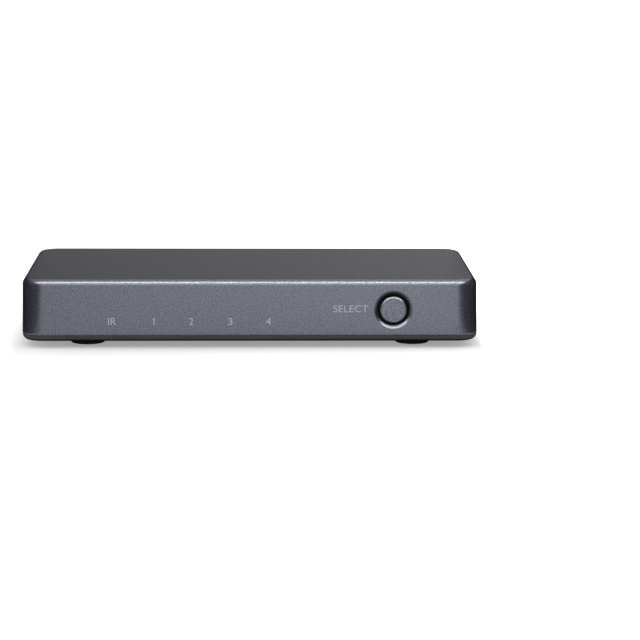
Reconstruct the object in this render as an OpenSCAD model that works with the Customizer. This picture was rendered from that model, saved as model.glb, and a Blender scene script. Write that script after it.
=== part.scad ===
// Four-input HDMI switch box: a painted housing in two halves, a select button over a
// tactile switch, and one board that carries the sockets, the indicators and the receiver.
// The front faces -Y, the feet stand on Z = 0, and the origin is under the middle of the box.

/* [Housing] */
// Width of the housing, side to side
body_w = 160; // [144:1:200]
// Depth of the housing, front to back
body_d = 80; // [72:1:110]
// Height of the housing without its feet
body_h = 22; // [21.5:0.5:30]
// Thickness of the walls and of the roof
wall = 2; // [1.6:0.1:2.4]
// Radius of the four upright corners, seen from above
corner_r = 7; // [5:0.5:9]
// Radius of the edge round the roof
top_edge_r = 2.4; // [1:0.1:3]
// Thickness of the base
base_t = 2.1; // [2.1:0.1:2.6]
// Radius of the edge round the underside
base_edge_r = 2; // [1:0.1:2]
// Gap at the seam between the upper shell and the base
seam_gap = 0.1; // [0.05:0.05:0.3]
// Thickness of the lip that stands up from the base inside the walls
lip_t = 1.2; // [0.8:0.1:1.6]
// Height of that lip
lip_h = 2.4; // [1:0.2:3]
// Gap between the lip and the walls
lip_gap = 0.15; // [0.1:0.05:0.3]
// Width of one vent slot in the base
vent_w = 1.8; // [1:0.1:2.4]
// Length of one vent slot
vent_l = 20; // [10:1:26]
// Distance from one vent slot to the next
vent_pitch = 4.5; // [4:0.25:6]
// Number of vent slots in a block
vent_count = 9; // [4:1:10]

/* [Feet] */
// Diameter of a rubber foot
foot_d = 12; // [8:0.5:14]
// Thickness of a rubber foot
foot_h = 3; // [2.4:0.1:4]
// Depth of the pocket that a foot sits in
foot_sink = 0.6; // [0.3:0.1:1]
// Radius of a foot's lower edge
foot_edge_r = 0.7; // [0.3:0.1:1]
// Distance from the housing's side to a foot's middle
foot_inset_x = 22.5; // [20:0.5:28]
// Distance from the housing's front or back to a foot's middle
foot_inset_y = 14; // [12:0.5:17]

/* [Fasteners] */
// Shank diameter of a base screw
screw_d = 2.9; // [2.5:0.1:3.5]
// Length of a base screw under its head
screw_l = 10; // [8:1:14]
// Head diameter of a base screw
screw_head_d = 5.2; // [4.8:0.1:5.6]
// Head height of a base screw
screw_head_h = 1.7; // [1.2:0.1:2]
// Depth from the underside to the seat of a base screw's head
screw_sink = 2.1; // [2:0.1:2.6]
// Diameter of the posts and bosses that the base screws join
post_d = 7; // [6.4:0.2:8]
// Distance from the housing's sides to a post's middle, both ways
post_inset = 9; // [8.5:0.25:10]
// Height of the base's screw bosses
boss_h = 2; // [1.6:0.2:3]
// Shank diameter of a board screw
board_screw_d = 2.2; // [2:0.1:2.6]
// Length of a board screw under its head
board_screw_l = 5; // [4:0.25:5.5]
// Head diameter of a board screw
board_screw_head_d = 4.4; // [4:0.1:5]
// Head height of a board screw
board_screw_head_h = 1.5; // [1.2:0.1:2]

/* [Select button] */
// Diameter of the button's cap
button_d = 9.2; // [7:0.1:10]
// Gap round the cap where it passes the front wall
button_gap = 0.8; // [0.3:0.1:1]
// Width of the bezel ring round the button's hole
bezel_w = 1.2; // [0.6:0.1:1.4]
// Slope of the bezel's face, in degrees from the front
bezel_slope = 31; // [20:1:35]
// Bevel on the cap's front rim
cap_bevel = 0.35; // [0.1:0.05:0.6]
// How far the cap stands out of the front
button_proud = 0.2; // [0.1:0.1:1]
// How far the button can be pressed
button_travel = 0.5; // [0.2:0.1:0.6]
// Distance from the housing's right side to the button's axis
button_inset = 29.9; // [26:0.5:36]
// How far the button's flange overlaps the front wall
flange_lap = 0.9; // [0.5:0.1:1.2]
// Thickness of the button's flange
flange_t = 1; // [0.8:0.1:1.4]
// Gap between the flange and the front wall
flange_gap = 0.2; // [0.1:0.05:0.4]
// Diameter of the button's stem
stem_d = 4; // [3:0.2:5]
// Length of the button's stem
stem_l = 0.8; // [0.6:0.1:2]
// Gap between the flange and the sleeve that guides it
sleeve_gap = 0.2; // [0.1:0.05:0.4]
// Wall of the guide sleeve
sleeve_t = 1; // [0.8:0.1:1.4]
// Length of the guide sleeve
sleeve_l = 2.4; // [1.6:0.1:3]

/* [Tactile switch] */
// Side of the switch's square body
switch_w = 6; // [5.6:0.1:6.4]
// Depth of the switch's body
switch_d = 3.6; // [3.4:0.1:4.4]
// Height of the switch's axis over the board
switch_axis_h = 4.1; // [4:0.1:4.6]
// Diameter of the switch's plunger
plunger_d = 3.5; // [3:0.1:3.8]
// Length of plunger outside the switch
plunger_l = 3.2; // [2.6:0.1:4]
// Thickness of the switch's tin frame
frame_t = 0.3; // [0.2:0.05:0.4]
// Distance from the board's front edge to the switch
switch_setback = 1.2; // [0.8:0.1:2]

/* [Indicators] */
// Distance from the housing's left side to the first lamp
lamp_inset = 46.2; // [44:0.5:50]
// Distance from one lamp to the next
lamp_pitch = 13.5; // [12:0.25:14]
// Distance from the housing's left side to the infrared receiver
receiver_inset = 31.4; // [30:0.5:33]
// Wall left in front of the lamps and the receiver
window_t = 0.8; // [0.6:0.1:1.2]
// Width of one arm of the light guide
guide_w = 3; // [2:0.1:4]
// Height of one arm of the light guide
guide_h = 2.6; // [2:0.1:2.8]
// Gap beside a light guide's arm in its pocket, and behind it
guide_gap = 0.2; // [0.1:0.05:0.4]
// Width of a lamp
lamp_w = 3; // [2:0.1:3.6]
// Depth of a lamp
lamp_d = 1.4; // [1.2:0.1:2]
// Height of a lamp
lamp_h = 1.6; // [1.2:0.1:2]
// Width of the receiver
receiver_w = 6.8; // [5:0.1:8]
// Depth of the receiver without its lens
receiver_d = 2.6; // [2:0.1:3.4]
// Height of the receiver
receiver_h = 3.2; // [2.8:0.1:4]
// Radius of the receiver's lens
lens_r = 1.3; // [1:0.05:1.35]
// Thickness of the receiver's tin shield
shield_t = 0.25; // [0.2:0.05:0.4]

/* [Board] */
// Distance from the housing's sides to the board
board_inset = 14; // [13.5:0.25:15]
// Thickness of the board
board_t = 1.6; // [1.2:0.1:1.8]
// Height of the board over the base
board_rise = 3.5; // [3.3:0.1:3.9]
// Diameter of the bosses under the board
board_boss_d = 5.4; // [4.6:0.2:6]
// Distance from the board's side edges to its screws
board_screw_inset_x = 5; // [4:0.25:5.5]
// Distance from the board's front edge to its front screws
board_screw_front = 6; // [4.5:0.5:8]
// Distance from the board's rear edge to its rear screws
board_screw_rear = 18.3; // [17.5:0.1:26]
// Side of the switching chip
chip_w = 10; // [8:0.5:14]
// Height of the switching chip
chip_h = 1; // [0.8:0.1:1.4]
// Side of the heat sink
sink_w = 14; // [12:0.5:18]
// Height of the heat sink
sink_h = 6; // [4:0.5:8]
// Number of fins on the heat sink
fin_count = 5; // [3:1:6]

/* [Sockets] */
// Distance from the housing's left side to the first input socket
input_inset = 24; // [23:0.5:26]
// Distance from the last input socket to the output socket
output_gap = 24.5; // [20:0.5:28]
// Distance from the output socket to the power jack
jack_gap = 22; // [18:0.5:26]
// Distance from the housing's right side to the power jack
jack_inset = 22; // [21:0.25:22.5]
// Inside width of a socket's mouth
mouth_w = 14; // [13.8:0.1:14.4]
// Inside width of a mouth's narrow lower part
mouth_low_w = 10.8; // [10:0.1:11.4]
// Inside height of a mouth
mouth_h = 4.55; // [4.4:0.05:4.8]
// Height of a mouth's narrow lower part
mouth_step_h = 0.6; // [0.4:0.05:0.8]
// Sheet thickness of a socket's shell
sheet_t = 0.3; // [0.25:0.05:0.35]
// Length of a socket
socket_l = 12; // [11:0.25:13]
// How far the sockets stand out of the rear panel
socket_proud = 0.3; // [0.1:0.1:0.8]
// Length of the insulator's block at a socket's inner end
block_l = 4.5; // [4:0.25:5.5]
// Width of the tongue that carries the contacts
tongue_w = 11.2; // [10.6:0.1:11.8]
// Thickness of the tongue
tongue_t = 1.2; // [1:0.05:1.4]
// Distance from the mouth to the tongue's tip
tongue_setback = 2; // [1.5:0.1:2.5]
// Distance from one contact to the next in a row
contact_pitch = 1; // [0.9:0.05:1]
// Width of a contact
contact_w = 0.3; // [0.2:0.05:0.35]
// Thickness of a contact
contact_t = 0.15; // [0.1:0.05:0.25]
// Width of the power jack
jack_w = 9; // [8.6:0.1:9.4]
// Height of the power jack
jack_h = 10.8; // [10.6:0.1:11.2]
// Length of the power jack
jack_l = 14.2; // [13:0.1:15]
// Height of the power jack's axis over the board
jack_axis_h = 6.3; // [6:0.1:6.4]
// Diameter of the power jack's bore
jack_bore_d = 6.5; // [6.2:0.1:6.8]
// Depth of the power jack's bore
jack_bore_l = 10; // [9:0.25:10.5]
// Diameter of the power jack's pin
jack_pin_d = 2.1; // [1.7:0.1:2.5]
// Distance from the jack's mouth to its pin's tip
jack_pin_setback = 1.9; // [1:0.1:2.5]

/* [Rear panel] */
// Thickness of the rear panel
panel_t = 1.5; // [1:0.1:1.8]
// Distance from the housing's sides to the rear panel
panel_inset = 11; // [10.7:0.1:12]
// How far the rear wall overlaps the panel
panel_lap = 1; // [0.8:0.1:1.4]
// Gap between the panel and the housing
panel_gap = 0.1; // [0.05:0.05:0.2]
// Gap between the panel and what passes through it
cutout_gap = 0.25; // [0.15:0.05:0.4]

/* [Hidden] */
$fn = 64;
over = 1; // how far a cut runs past the face that it starts from
screw_play = 0.05; // radial gap between a screw's shank and the post that holds it
hole_play = 0.2; // radial gap between a screw and a plain hole that it passes
slot_play = 0.15; // gap round a leg in the board
foot_play = 0.1; // radial gap round a foot in its pocket
head_play = 0.15; // radial gap round a screw head in its sink
pin_play = 0.02; // radial gap round the power pin's shank
bore_play = 0.15; // radial gap round the plunger in the switch's frame

input_count = 4;
corners = [[-1, -1], [1, -1], [-1, 1], [1, 1]];

// Heights
z_base = foot_h - foot_sink;
z_floor = z_base + base_t;
z_rim = z_floor + seam_gap;
z_top = z_base + body_h;
z_roof = z_top - wall;
z_board = z_floor + board_rise;
z_board_top = z_board + board_t;
z_boss = z_floor + boss_h;
z_lip = z_floor + lip_h;
z_button = z_board_top + switch_axis_h;
z_lamp = z_board_top;

// Places along the depth, from the front wall to the rear panel
y_front = -body_d / 2;
y_front_in = y_front + wall;
y_rear = body_d / 2;
y_rear_in = y_rear - wall;
y_flange = y_front_in + flange_gap;
y_stem = y_flange + flange_t;
y_tip = y_stem + stem_l;
y_switch = y_tip + plunger_l;
y_board = y_switch - switch_setback;
y_panel_in = y_rear_in - panel_t;
y_board_rear = y_panel_in - guide_gap;
y_mouth = y_rear_in + socket_proud;

// Places along the width
x_side = body_w / 2;
x_button = x_side - button_inset;
x_receiver = receiver_inset - x_side;
x_jack = x_side - jack_inset;
x_output = x_jack - jack_gap;
x_first = input_inset - x_side;
input_pitch = (x_output - output_gap - x_first) / (input_count - 1);
x_inputs = [for (i = [0:input_count - 1]) x_first + i * input_pitch];
x_lamps = [for (i = [0:input_count - 1]) lamp_inset - x_side + i * lamp_pitch];
x_sockets = concat(x_inputs, [x_output]);

// Housing
cavity_w = body_w - 2 * wall;
cavity_d = body_d - 2 * wall;
cavity_r = corner_r - wall;
roof_r = max(top_edge_r - wall, 0);
post_x = x_side - post_inset;
post_y = y_rear - post_inset;
rib_t = 1.2;
rib_gap = 0.3;
foot_x = x_side - foot_inset_x;
foot_y = y_rear - foot_inset_y;
panel_w = body_w - 2 * panel_inset;
stop_t = 1.2;
stop_h = 2.4;
stop_w = 4;
stop_inset = 0.6;
vent_blocks = [-1, 1];
vent_block_x = 32;

// Button and switch
hole_r = button_d / 2 + button_gap;
bezel_rim = 0.1;
bezel_land = 0.4;
bezel_play = 0.05;
bezel_r = hole_r + bezel_w;
bezel_fall = (bezel_w - bezel_rim) * tan(bezel_slope);
bezel_t = bezel_fall + bezel_land;
flange_r = hole_r + flange_lap;
sleeve_r = flange_r + sleeve_gap;
plunger_gap = 0.1;
plunger_flange_lap = 0.45;
plunger_flange_t = 0.8;
plunger_flange_play = 0.3;
switch_cavity_r = plunger_d / 2 + plunger_flange_lap + plunger_flange_play;
switch_cavity_d = 2.6;
dome_t = 0.15;
dome_gap = 0.1;
dome_rise = switch_cavity_d - plunger_flange_t - plunger_gap - dome_gap;
frame_lap = 0.6;
leg_w = 1.2;
leg_reach = 0.8;
switch_leg_x = switch_w / 2 + frame_lap - frame_t / 2;

// Board and its parts
board_w = body_w - 2 * board_inset;
board_screw_x = board_w / 2 - board_screw_inset_x;
board_screw_y = [y_board + board_screw_front, y_board_rear - board_screw_rear];
board_mid = (y_board + y_board_rear) / 2;
part_pitch = 10; // distance between neighbouring parts on the board
x_supply = x_jack - part_pitch / 5;
y_supply = board_mid + part_pitch / 10;
chip_at = [x_inputs[1] + 2 * part_pitch, board_mid - part_pitch / 2];
control_at = [x_inputs[3] + part_pitch, board_mid - part_pitch];
crystal_at = [control_at.x + part_pitch, control_at.y - part_pitch];
regulator_at = [x_supply, y_supply];
inductor_at = [x_supply - part_pitch, y_supply];
capacitor_at = [for (i = [0, 1]) [x_supply - i * part_pitch, y_supply - part_pitch]];
fin_t = 1;
fin_floor = 1.6;

// Sockets
z_mouth = z_board_top + sheet_t;
z_tongue = z_mouth + (mouth_h - tongue_t) / 2;
y_socket_in = y_mouth - socket_l;
block_setback = 0.2;
y_block = y_socket_in + block_setback;
y_tongue = y_mouth - tongue_setback;
tail_setback = 0.9;
y_tail = y_block - tail_setback;
tail_l = 0.8;
contact_short = 0.4;
upper_contacts = 10;
lower_contacts = 9;
socket_legs = [3.7, 9.5];
z_jack = z_board_top + jack_axis_h;
y_jack_in = y_mouth - jack_l;
y_bore_in = y_mouth - jack_bore_l;
jack_collar_l = 3.4;
jack_barrel_inset = 0.2;
jack_barrel_r = jack_w / 2 - jack_barrel_inset;
jack_shank_lap = 0.35;
jack_shank_r = jack_pin_d / 2 + jack_shank_lap;
jack_tail = [1.2, 0.6];
leaf_t = 0.25;
leaf_w = 2;
leaf_rise = 0.35;
leaf_drop = jack_bore_d / 2 - leaf_rise;

// Colours
paint = [0.36, 0.37, 0.40];
dark_chrome = [0.26, 0.26, 0.28];
base_black = [0.14, 0.14, 0.15];
rubber_black = [0.05, 0.05, 0.05];
plastic_black = [0.07, 0.07, 0.08];
board_green = [0.05, 0.25, 0.14];
tin = [0.76, 0.76, 0.74];
gold = [0.83, 0.66, 0.30];
steel = [0.55, 0.55, 0.57];
clear = [0.85, 0.90, 0.95, 0.5];
lamp_white = [0.93, 0.93, 0.88];
ferrite = [0.22, 0.22, 0.23];

// Half of a block's upright section, from its middle line to an outer face at x = c, with
// the upper and lower outer edges rounded.
module edge_profile(c, h, top_r, low_r) {
    difference() {
        square([c, h]);
        if (top_r > 0) translate([c - top_r, h - top_r]) round_waste(top_r);
        if (low_r > 0) translate([c - low_r, low_r]) mirror([0, 1]) round_waste(low_r);
    }
}

// What is taken off a square corner to round it.
module round_waste(r) {
    difference() {
        square(r + over);
        circle(r);
    }
}

// A block that stands on Z = 0 with upright corners of radius c, and the edges of its roof
// and of its underside rounded by top_r and low_r.
module rounded_block(w, d, h, c, top_r = 0, low_r = 0) {
    run_x = w - 2 * c;
    run_y = d - 2 * c;
    translate([-run_x / 2, -run_y / 2, 0]) cube([run_x, run_y, h]);
    for (turn = [0:90:270]) {
        along = turn % 180 == 0 ? run_x : run_y;
        across = turn % 180 == 0 ? run_y : run_x;
        rotate(turn) {
            translate([-along / 2, across / 2, 0]) rotate([90, 0, 90]) linear_extrude(along)
                edge_profile(c, h, top_r, low_r);
            translate([along / 2, across / 2, 0]) rotate_extrude(angle = 90)
                edge_profile(c, h, top_r, low_r);
        }
    }
}

module lift(z) {
    translate([0, 0, z]) children();
}

// A cylinder along +Y that starts at the point given.
module rod(at, r, l, r_end = undef) {
    translate(at) rotate([-90, 0, 0]) cylinder(h = l, r1 = r, r2 = is_undef(r_end) ? r : r_end);
}

// A box given by its lowest and highest corners.
module box(low, high) {
    translate(low) cube(high - low);
}

module at_posts() {
    for (c = corners) translate([c.x * post_x, c.y * post_y, 0]) children();
}

module at_feet() {
    for (c = corners) translate([c.x * foot_x, c.y * foot_y, 0]) children();
}

module at_board_screws() {
    for (x = [-1, 1], y = board_screw_y) translate([x * board_screw_x, y, 0]) children();
}

// The upper shell: roof, front, sides and rear frame, with posts for the base screws.
module upper_shell() {
    color(paint) difference() {
        union() {
            difference() {
                lift(z_rim) rounded_block(body_w, body_d, z_top - z_rim, corner_r, top_edge_r);
                lift(z_rim - over)
                    rounded_block(cavity_w, cavity_d, z_roof - z_rim + over, cavity_r, roof_r);
            }
            for (c = corners) corner_post(c);
            rod([x_button, y_front_in - wall / 4, z_button], sleeve_r + sleeve_t, sleeve_l + wall / 4);
            for (side = [-1, 1]) panel_stop(side);
        }
        at_posts() lift(z_boss - over)
            cylinder(r = screw_d / 2 + screw_play, h = screw_l + over + 2 * seam_gap);
        button_hole();
        rear_opening();
        for (x = x_lamps) wall_pocket(x, guide_w + 2 * guide_gap, guide_h + 2 * guide_gap);
        wall_pocket(x_receiver, receiver_w, guide_h + 2 * guide_gap);
    }
}

// A screw post with a rib to each of the two walls beside it.
module corner_post(c) {
    z_rib = z_lip + rib_gap;
    rib_h = z_roof - z_rib + wall / 4;
    translate([c.x * post_x, c.y * post_y, z_boss]) cylinder(d = post_d, h = z_roof - z_boss + wall / 4);
    rib_x = x_side - wall / 2 - post_x;
    rib_y = y_rear - wall / 2 - post_y;
    translate([c.x * (post_x + rib_x / 2) - rib_x / 2, c.y * post_y - rib_t / 2, z_rib])
        cube([rib_x, rib_t, rib_h]);
    translate([c.x * post_x - rib_t / 2, c.y * (post_y + rib_y / 2) - rib_y / 2, z_rib])
        cube([rib_t, rib_y, rib_h]);
}

// A short rib under the roof that keeps the rear panel against the rear wall.
module panel_stop(side) {
    x_out = panel_w / 2 - stop_inset;
    translate([side * (x_out - stop_w / 2) - stop_w / 2, y_panel_in - panel_gap - stop_t, z_roof - stop_h])
        cube([stop_w, stop_t, stop_h + wall / 4]);
}

// The round hole in the front wall with the bezel's seat, and the inside of the sleeve.
module button_hole() {
    rod([x_button, y_front - over, z_button], hole_r, wall + 2 * over);
    rod([x_button, y_front - over, z_button], bezel_r + bezel_play, bezel_t + over);
    rod([x_button, y_front_in, z_button], sleeve_r, sleeve_l + over);
}

// The ring round the button, whose face slopes inwards.
module button_bezel() {
    color(dark_chrome) difference() {
        rod([x_button, y_front, z_button], bezel_r, bezel_t);
        rod([x_button, y_front - over, z_button], hole_r, bezel_t + 2 * over);
        rod([x_button, y_front, z_button], bezel_r - bezel_rim, bezel_fall, hole_r);
    }
}

module rear_opening() {
    half = panel_w / 2 - panel_lap;
    box([-half, y_rear_in - over, z_rim - over], [half, y_rear + over, z_roof - panel_gap - panel_lap]);
}

// A blind pocket inside the front wall that leaves a thin window.
module wall_pocket(x, w, h) {
    box([x - w / 2, y_front + window_t, z_lamp - h / 2], [x + w / 2, y_front_in + over, z_lamp + h / 2]);
}

// The base: a floor with a rounded underside, a lip inside the walls, and bosses.
module base() {
    color(base_black) difference() {
        union() {
            lift(z_base) rounded_block(body_w, body_d, base_t, corner_r, 0, base_edge_r);
            base_lip();
            at_posts() lift(z_floor - base_t / 2) cylinder(d = post_d, h = boss_h + base_t / 2);
            at_board_screws() lift(z_floor - base_t / 2)
                cylinder(d = board_boss_d, h = board_rise + base_t / 2);
            box([-panel_w / 2 + post_d, y_panel_in - panel_gap - stop_t, z_floor - base_t / 2],
                [panel_w / 2 - post_d, y_panel_in - panel_gap, z_floor + stop_h]);
        }
        at_posts() {
            lift(z_base - over) cylinder(r = screw_d / 2 + hole_play, h = base_t + boss_h + 2 * over);
            lift(z_base - over) cylinder(r = screw_head_d / 2 + head_play, h = screw_sink + over);
        }
        at_board_screws() lift(z_board_top - board_screw_l - 2 * screw_play)
            cylinder(r = board_screw_d / 2 + screw_play, h = board_screw_l);
        at_feet() lift(z_base - over) cylinder(r = foot_d / 2 + foot_play, h = foot_sink + over);
        for (side = vent_blocks) vent_block(side * vent_block_x);
    }
}

// The lip, open at the back for the rear panel and at the front for the button's sleeve.
module base_lip() {
    lip_w = cavity_w - 2 * lip_gap;
    lip_d = cavity_d - 2 * lip_gap;
    lip_r = cavity_r - lip_gap;
    sleeve_half = sleeve_r + sleeve_t + rib_gap;
    difference() {
        lift(z_floor - base_t / 2) rounded_block(lip_w, lip_d, lip_h + base_t / 2, lip_r);
        lift(z_floor - base_t)
            rounded_block(lip_w - 2 * lip_t, lip_d - 2 * lip_t, lip_h + base_t + over, lip_r - lip_t);
        box([-panel_w / 2 - rib_gap, y_panel_in - stop_t, z_floor],
            [panel_w / 2 + rib_gap, y_rear, z_lip + over]);
        box([x_button - sleeve_half, y_front, z_floor],
            [x_button + sleeve_half, y_front_in + 2 * lip_t, z_lip + over]);
    }
}

module vent_block(x) {
    for (i = [0:vent_count - 1]) {
        x_slot = x + (i - (vent_count - 1) / 2) * vent_pitch;
        box([x_slot - vent_w / 2, -vent_l / 2, z_base - over],
            [x_slot + vent_w / 2, vent_l / 2, z_floor + over]);
    }
}

// The plate that the sockets and the power jack look out of.
module rear_panel() {
    color(base_black) difference() {
        box([-panel_w / 2, y_panel_in, z_floor + panel_gap], [panel_w / 2, y_rear_in, z_roof - panel_gap]);
        for (x = x_sockets) translate([x, y_rear_in + over, z_mouth]) rotate([90, 0, 0])
            linear_extrude(panel_t + 2 * over) polygon(mouth_outline(sheet_t + cutout_gap));
        box([x_jack - jack_w / 2 - cutout_gap, y_panel_in - over, z_board_top - cutout_gap],
            [x_jack + jack_w / 2 + cutout_gap, y_rear_in + over, z_board_top + jack_h + cutout_gap]);
    }
}

// A pan-head screw that points up, with a cross recess under its head.
module screw(d, l, head_d, head_h) {
    recess_w = head_d * 0.14;
    recess_l = head_d * 0.55;
    cylinder(d = d, h = l);
    difference() {
        lift(-head_h) cylinder(d = head_d, h = head_h);
        for (turn = [0, 90]) rotate(turn)
            box([-recess_l / 2, -recess_w / 2, -head_h - over],
                [recess_l / 2, recess_w / 2, -head_h * 0.4]);
    }
}

module base_screws() {
    color(steel) at_posts() lift(z_base + screw_sink) screw(screw_d, screw_l, screw_head_d, screw_head_h);
}

module board_screws() {
    color(steel) at_board_screws() lift(z_board_top) rotate([180, 0, 0])
        screw(board_screw_d, board_screw_l - 3 * screw_play, board_screw_head_d, board_screw_head_h);
}

module foot(c) {
    color(rubber_black) translate([c.x * foot_x, c.y * foot_y, 0]) rotate_extrude()
        edge_profile(foot_d / 2, foot_h, 0, foot_edge_r);
}

// The button: a bevelled cap, a flange that the front wall stops, and a short stem.
module select_button() {
    y_cap = y_front - button_proud;
    color(paint) {
        rod([x_button, y_cap, z_button], button_d / 2 - cap_bevel, cap_bevel, button_d / 2);
        rod([x_button, y_cap + cap_bevel, z_button], button_d / 2,
            y_flange - y_cap - cap_bevel + flange_t / 2);
        rod([x_button, y_flange, z_button], flange_r, flange_t);
        rod([x_button, y_stem - flange_t / 2, z_button], stem_d / 2, stem_l + flange_t / 2);
    }
}

module switch_body() {
    y = y_switch + frame_t;
    color(plastic_black) difference() {
        box([x_button - switch_w / 2, y, z_button - switch_w / 2],
            [x_button + switch_w / 2, y + switch_d, z_button + switch_w / 2]);
        rod([x_button, y - over, z_button], switch_cavity_r, switch_cavity_d + over);
    }
}

// The tin frame: a face plate in front of the switch and two legs into the board.
module switch_frame() {
    half = switch_w / 2 + frame_lap;
    color(tin) difference() {
        union() {
            box([x_button - half, y_switch, z_board_top],
                [x_button + half, y_switch + frame_t, z_button + half]);
            for (side = [-1, 1]) switch_leg(side * switch_leg_x);
        }
        rod([x_button, y_switch - over, z_button], plunger_d / 2 + bore_play, frame_t + 2 * over);
    }
}

module switch_leg(x) {
    box([x_button + x - frame_t / 2, y_switch, z_board - leg_reach],
        [x_button + x + frame_t / 2, y_switch + leg_w, z_board_top + switch_w / 2]);
}

// The plunger, with a flange that the frame's face plate stops.
module switch_plunger() {
    y_in = y_switch + frame_t + plunger_gap;
    color(plastic_black) {
        rod([x_button, y_tip, z_button], plunger_d / 2, y_in - y_tip + plunger_flange_t / 2);
        rod([x_button, y_in, z_button], plunger_d / 2 + plunger_flange_lap, plunger_flange_t);
    }
}

// The snap dome: a thin cap of a sphere between the plunger and the bottom of the cavity.
module switch_dome() {
    rim_r = switch_cavity_r - 0.1;
    ball_r = (rim_r * rim_r + dome_rise * dome_rise) / (2 * dome_rise);
    y_rim = y_switch + frame_t + switch_cavity_d;
    color(tin) translate([x_button, y_rim, z_button]) rotate([90, 0, 0]) intersection() {
        lift(dome_rise - ball_r) difference() {
            sphere(ball_r);
            sphere(ball_r - dome_t);
        }
        cylinder(r = rim_r + over, h = dome_rise + over);
    }
}

// The clear light guide: one arm from each lamp to its window, and a bar that joins them.
module light_guide() {
    y_arm = y_front + window_t;
    y_arm_in = y_board - guide_gap;
    y_bar = (y_front_in + y_arm_in) / 2;
    bar_t = 1;
    bar_h = guide_h / 2;
    color(clear) {
        for (x = x_lamps)
            box([x - guide_w / 2, y_arm, z_lamp - guide_h / 2],
                [x + guide_w / 2, y_arm_in, z_lamp + guide_h / 2]);
        box([x_lamps[0], y_bar - bar_t / 2, z_lamp - bar_h / 2],
            [x_lamps[input_count - 1], y_bar + bar_t / 2, z_lamp + bar_h / 2]);
    }
}

module lamp(i) {
    pocket = 0.3;
    rim = 0.3;
    color(lamp_white) difference() {
        box([x_lamps[i] - lamp_w / 2, y_board, z_board_top],
            [x_lamps[i] + lamp_w / 2, y_board + lamp_d, z_board_top + lamp_h]);
        box([x_lamps[i] - lamp_w / 2 + rim, y_board - over, z_board_top + rim],
            [x_lamps[i] + lamp_w / 2 - rim, y_board + pocket, z_board_top + lamp_h - rim]);
    }
}

module ir_receiver() {
    y = y_board + shield_t;
    color(plastic_black) {
        box([x_receiver - receiver_w / 2, y, z_board_top],
            [x_receiver + receiver_w / 2, y + receiver_d, z_board_top + receiver_h]);
        translate([x_receiver, y, z_board_top + receiver_h / 2]) sphere(lens_r);
    }
}

// The tin shield over the receiver's top, back and ends.
module ir_shield() {
    gap = 0.05;
    half = receiver_w / 2 + gap;
    y = y_board + shield_t;
    y_back = y + receiver_d + gap;
    z_cap = z_board_top + receiver_h + gap;
    color(tin) difference() {
        box([x_receiver - half - shield_t, y, z_board_top],
            [x_receiver + half + shield_t, y_back + shield_t, z_cap + shield_t]);
        box([x_receiver - half, y - over, z_board_top - over], [x_receiver + half, y_back, z_cap]);
    }
}

module main_board() {
    color(board_green) difference() {
        box([-board_w / 2, y_board, z_board], [board_w / 2, y_board_rear, z_board_top]);
        at_board_screws() lift(z_board - over)
            cylinder(r = board_screw_d / 2 + hole_play, h = board_t + 2 * over);
        for (x = x_sockets, side = [-1, 1], back = socket_legs)
            board_slot(x + side * (mouth_w + sheet_t) / 2, y_mouth - back, sheet_t, leg_w);
        for (side = [-1, 1])
            board_slot(x_button + side * switch_leg_x, y_switch + leg_w / 2, frame_t, leg_w);
        board_slot(x_jack, y_jack_in - jack_tail.y / 2, jack_tail.x, jack_tail.y);
    }
}

// A slot through the board for a leg of width w and depth d, with play all round.
module board_slot(x, y, w, d) {
    box([x - w / 2 - slot_play, y - d / 2 - slot_play, z_board - over],
        [x + w / 2 + slot_play, y + d / 2 + slot_play, z_board_top + over]);
}

module on_board(at) {
    translate([at.x, at.y, z_board_top]) children();
}

module switching_chip() {
    color(plastic_black) on_board(chip_at) translate([-chip_w / 2, -chip_w / 2, 0])
        cube([chip_w, chip_w, chip_h]);
}

module heat_sink() {
    gap = (sink_w - fin_count * fin_t) / (fin_count - 1);
    color(steel) on_board(chip_at) translate([-sink_w / 2, -sink_w / 2, chip_h]) {
        cube([sink_w, sink_w, fin_floor]);
        for (i = [0:fin_count - 1]) translate([i * (fin_t + gap), 0, fin_floor / 2])
            cube([fin_t, sink_w, sink_h - fin_floor / 2]);
    }
}

// A small chip: a body over a row of leads that reach out on both sides.
module leaded_chip(w, d, h, lead_count, pitch) {
    lead_w = 0.4;
    lead_h = 0.2;
    reach = 1;
    translate([-w / 2, -d / 2, lead_h / 2]) cube([w, d, h]);
    for (i = [0:lead_count - 1])
        translate([(i - (lead_count - 1) / 2) * pitch - lead_w / 2, -d / 2 - reach, 0])
            cube([lead_w, d + 2 * reach, lead_h]);
}

module control_chip() {
    color(plastic_black) on_board(control_at) leaded_chip(6.4, 4.4, 1.2, 8, 0.75);
}

module regulator() {
    color(plastic_black) on_board(regulator_at) leaded_chip(6.5, 3.5, 1.6, 3, 2.3);
}

module power_inductor() {
    color(ferrite) on_board(inductor_at) rounded_block(6, 6, 3, 1.5, 0.3);
}

module capacitor(i) {
    color(tin) on_board(capacitor_at[i]) {
        rounded_block(6.6, 6.6, 1, 1);
        cylinder(d = 6.3, h = 5.8);
    }
}

module crystal() {
    color(tin) on_board(crystal_at) rounded_block(10.5, 4, 3.4, 1.8, 0.4);
}

// Small chip resistors, in a row behind each socket's solder tails.
module chip_resistors() {
    per_socket = 4;
    size = [1.6, 0.8, 0.5];
    pitch = 2.6;
    y = y_tail - tail_l - 3;
    color(plastic_black) for (x = x_sockets, i = [0:per_socket - 1])
        translate([x + (i - (per_socket - 1) / 2) * pitch - size.x / 2, y - size.y / 2, z_board_top])
            cube(size);
}

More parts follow.
